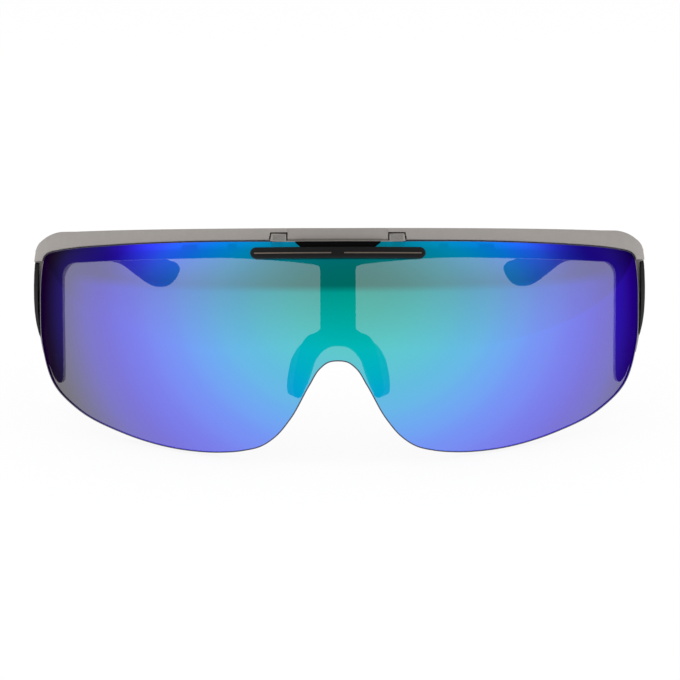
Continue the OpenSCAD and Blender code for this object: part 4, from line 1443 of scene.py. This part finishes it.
# %% [markdown]
# ## The studio
#
# The photograph is a product shot on a white sweep: the floor and everything low is white,
# and the room behind the camera is darker, with soft lights on each side. The lens shows
# all of that. Light Path lets the mirror see this room while the object itself is lit
# at one plain level, so that its colours stay true.

# %% Camera
def camera_matrix(place, direction, roll):
    forward = (TO_ROW.to_3x3() @ Vector(direction)).normalized()
    right = forward.cross(Vector((0, 0, 1))).normalized()
    up = right.cross(forward)
    turned_up = up * math.cos(roll) + right * math.sin(roll)
    turned_right = forward.cross(turned_up)
    turn = Matrix((turned_right, turned_up, -forward)).transposed().to_4x4()
    return Matrix.Translation(TO_ROW @ Vector(place)) @ turn


FOCAL_PX, PHOTO_PX = 1921.38, 680
EYE, GAZE, ROLL = (2.92, -420.0, -21.7), (-0.0059, 1.0, 0.0), math.radians(0.22)
camera_data = bpy.data.cameras.new("camera")
camera_data.sensor_width = 36.0
camera_data.lens = 36.0 * FOCAL_PX / PHOTO_PX
camera_data.clip_start, camera_data.clip_end = 0.01, 50
camera = new_object("camera", camera_data)
camera.matrix_world = camera_matrix(EYE, GAZE, ROLL)
bpy.context.scene.camera = camera
print("camera", [round(v, 4) for v in camera.matrix_world.translation])

# %% Floor
WHITE = (1.0, 1.0, 1.0, 1.0)


def build_floor():
    bpy.ops.mesh.primitive_plane_add(size=6.0, location=(0, 0, 0))
    floor = bpy.context.object
    floor.name = "floor"
    material = bpy.data.materials.new("white_sweep")
    tree = emptied(material)
    rays = node(tree, "ShaderNodeLightPath").outputs
    seen = calc("MAXIMUM", times(rays["Is Camera Ray"], 0.9), rays["Is Glossy Ray"])
    seen = calc("MAXIMUM", seen, rays["Is Transmission Ray"])
    matt = node(tree, "ShaderNodeBsdfDiffuse", {"Color": WHITE})
    glow = node(tree, "ShaderNodeEmission", {"Strength": 1.0})
    mix = node(tree, "ShaderNodeMixShader", {0: seen, 1: matt.outputs[0], 2: glow.outputs[0]})
    node(tree, "ShaderNodeOutputMaterial", {"Surface": mix.outputs[0]})
    floor.data.materials.append(material)
    floor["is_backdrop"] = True


build_floor()

# %% World
PLAIN_LEVEL, DARK_LEVEL, LOW_LEVEL = 0.84, 0.29, 0.66
SWEEP_TOP, SWEEP_LEAN, SWEEP_EDGE, SWEEP_FADE = 0.134, 0.27, 0.021, 0.354


def lit_by(tree, towards, level, lights):
    """A level plus soft round lights, each (direction, sharpness, strength)."""
    for direction, sharpness, strength in lights:
        inputs = {0: towards, 1: Vector(direction).normalized()}
        dot = node(tree, "ShaderNodeVectorMath", inputs, operation="DOT_PRODUCT").outputs["Value"]
        near = calc("POWER", calc("MAXIMUM", dot, 0.0), sharpness)
        level = plus(level, times(near, strength))
    return level


HIGH_LIGHTS = [
    ((-1, -0.2, 0.6), 32, 1.08),
    ((1, -0.16, 0.61), 29, 0.86),
    ((-1, -0.65, 1.16), 12.5, 0.82),
    ((1, -0.65, 1.16), 12.5, 0.62),
    ((-1, 0.53, 0), 20, 0.64),
    ((1, 0.53, 0), 20, 0.28),
]
LOW_LIGHTS = [((-1, 0, 0), 8, 0.19), ((1, 0, 0), 8, 0.06)]


def mixed(tree, share, low, high):
    inputs = {"Factor": share, 2: low, 3: high}
    return output(tree, "ShaderNodeMix", inputs, data_type="FLOAT")


def build_world():
    world = bpy.data.worlds.new("studio")
    bpy.context.scene.world = world
    tree = emptied(world)
    towards = node(tree, "ShaderNodeTexCoord").outputs["Generated"]
    part = parts_of(tree, towards)
    height = minus(plus(part["Z"], times(part["Y"], SWEEP_LEAN)), SWEEP_TOP)
    sweep = map_range(tree, height, 1.0, LOW_LEVEL, -SWEEP_FADE, 0.0)
    low = lit_by(tree, towards, sweep, LOW_LIGHTS)
    high = lit_by(tree, towards, DARK_LEVEL, HIGH_LIGHTS)
    edge = map_range(tree, height, 0.0, 1.0, -SWEEP_EDGE, SWEEP_EDGE)
    room = mixed(tree, edge, low, high)
    rays = node(tree, "ShaderNodeLightPath").outputs
    white = calc("MAXIMUM", rays["Is Camera Ray"], rays["Is Transmission Ray"])
    level = mixed(tree, white, mixed(tree, rays["Is Glossy Ray"], PLAIN_LEVEL, room), 1.0)
    sky = output(tree, "ShaderNodeBackground", {"Color": WHITE, "Strength": level})
    node(tree, "ShaderNodeOutputWorld", {"Surface": sky})
    print("room lights", len(LOW_LIGHTS) + len(HIGH_LIGHTS))


build_world()

# %% Lamps
LAMPS_AIM = Vector((0, 0, 0.02))


def lamp(name, place, size, power):
    data = bpy.data.lights.new(name, "AREA")
    data.energy, data.size = power, size
    obj = new_object(name, data)
    turn = (LAMPS_AIM - Vector(place)).to_track_quat("-Z", "Y")
    obj.matrix_world = Matrix.Translation(place) @ turn.to_matrix().to_4x4()
    obj.visible_glossy = False
    print(name, power, "W")


for side, label in ((-1, "left"), (1, "right")):
    lamp("side_" + label, (side, 0.05, 0.35), 0.5, 1.0)
lamp("overhead", (0.0, 0.1, 0.9), 0.8, 2.0)

bpy.context.scene.view_settings.view_transform = "Standard"

# %% Sizes of the CAD and of the finished scene
boxes = {"cad": cad_box, "visual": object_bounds()}
{k: [list(c) for c in v] for k, v in boxes.items()}
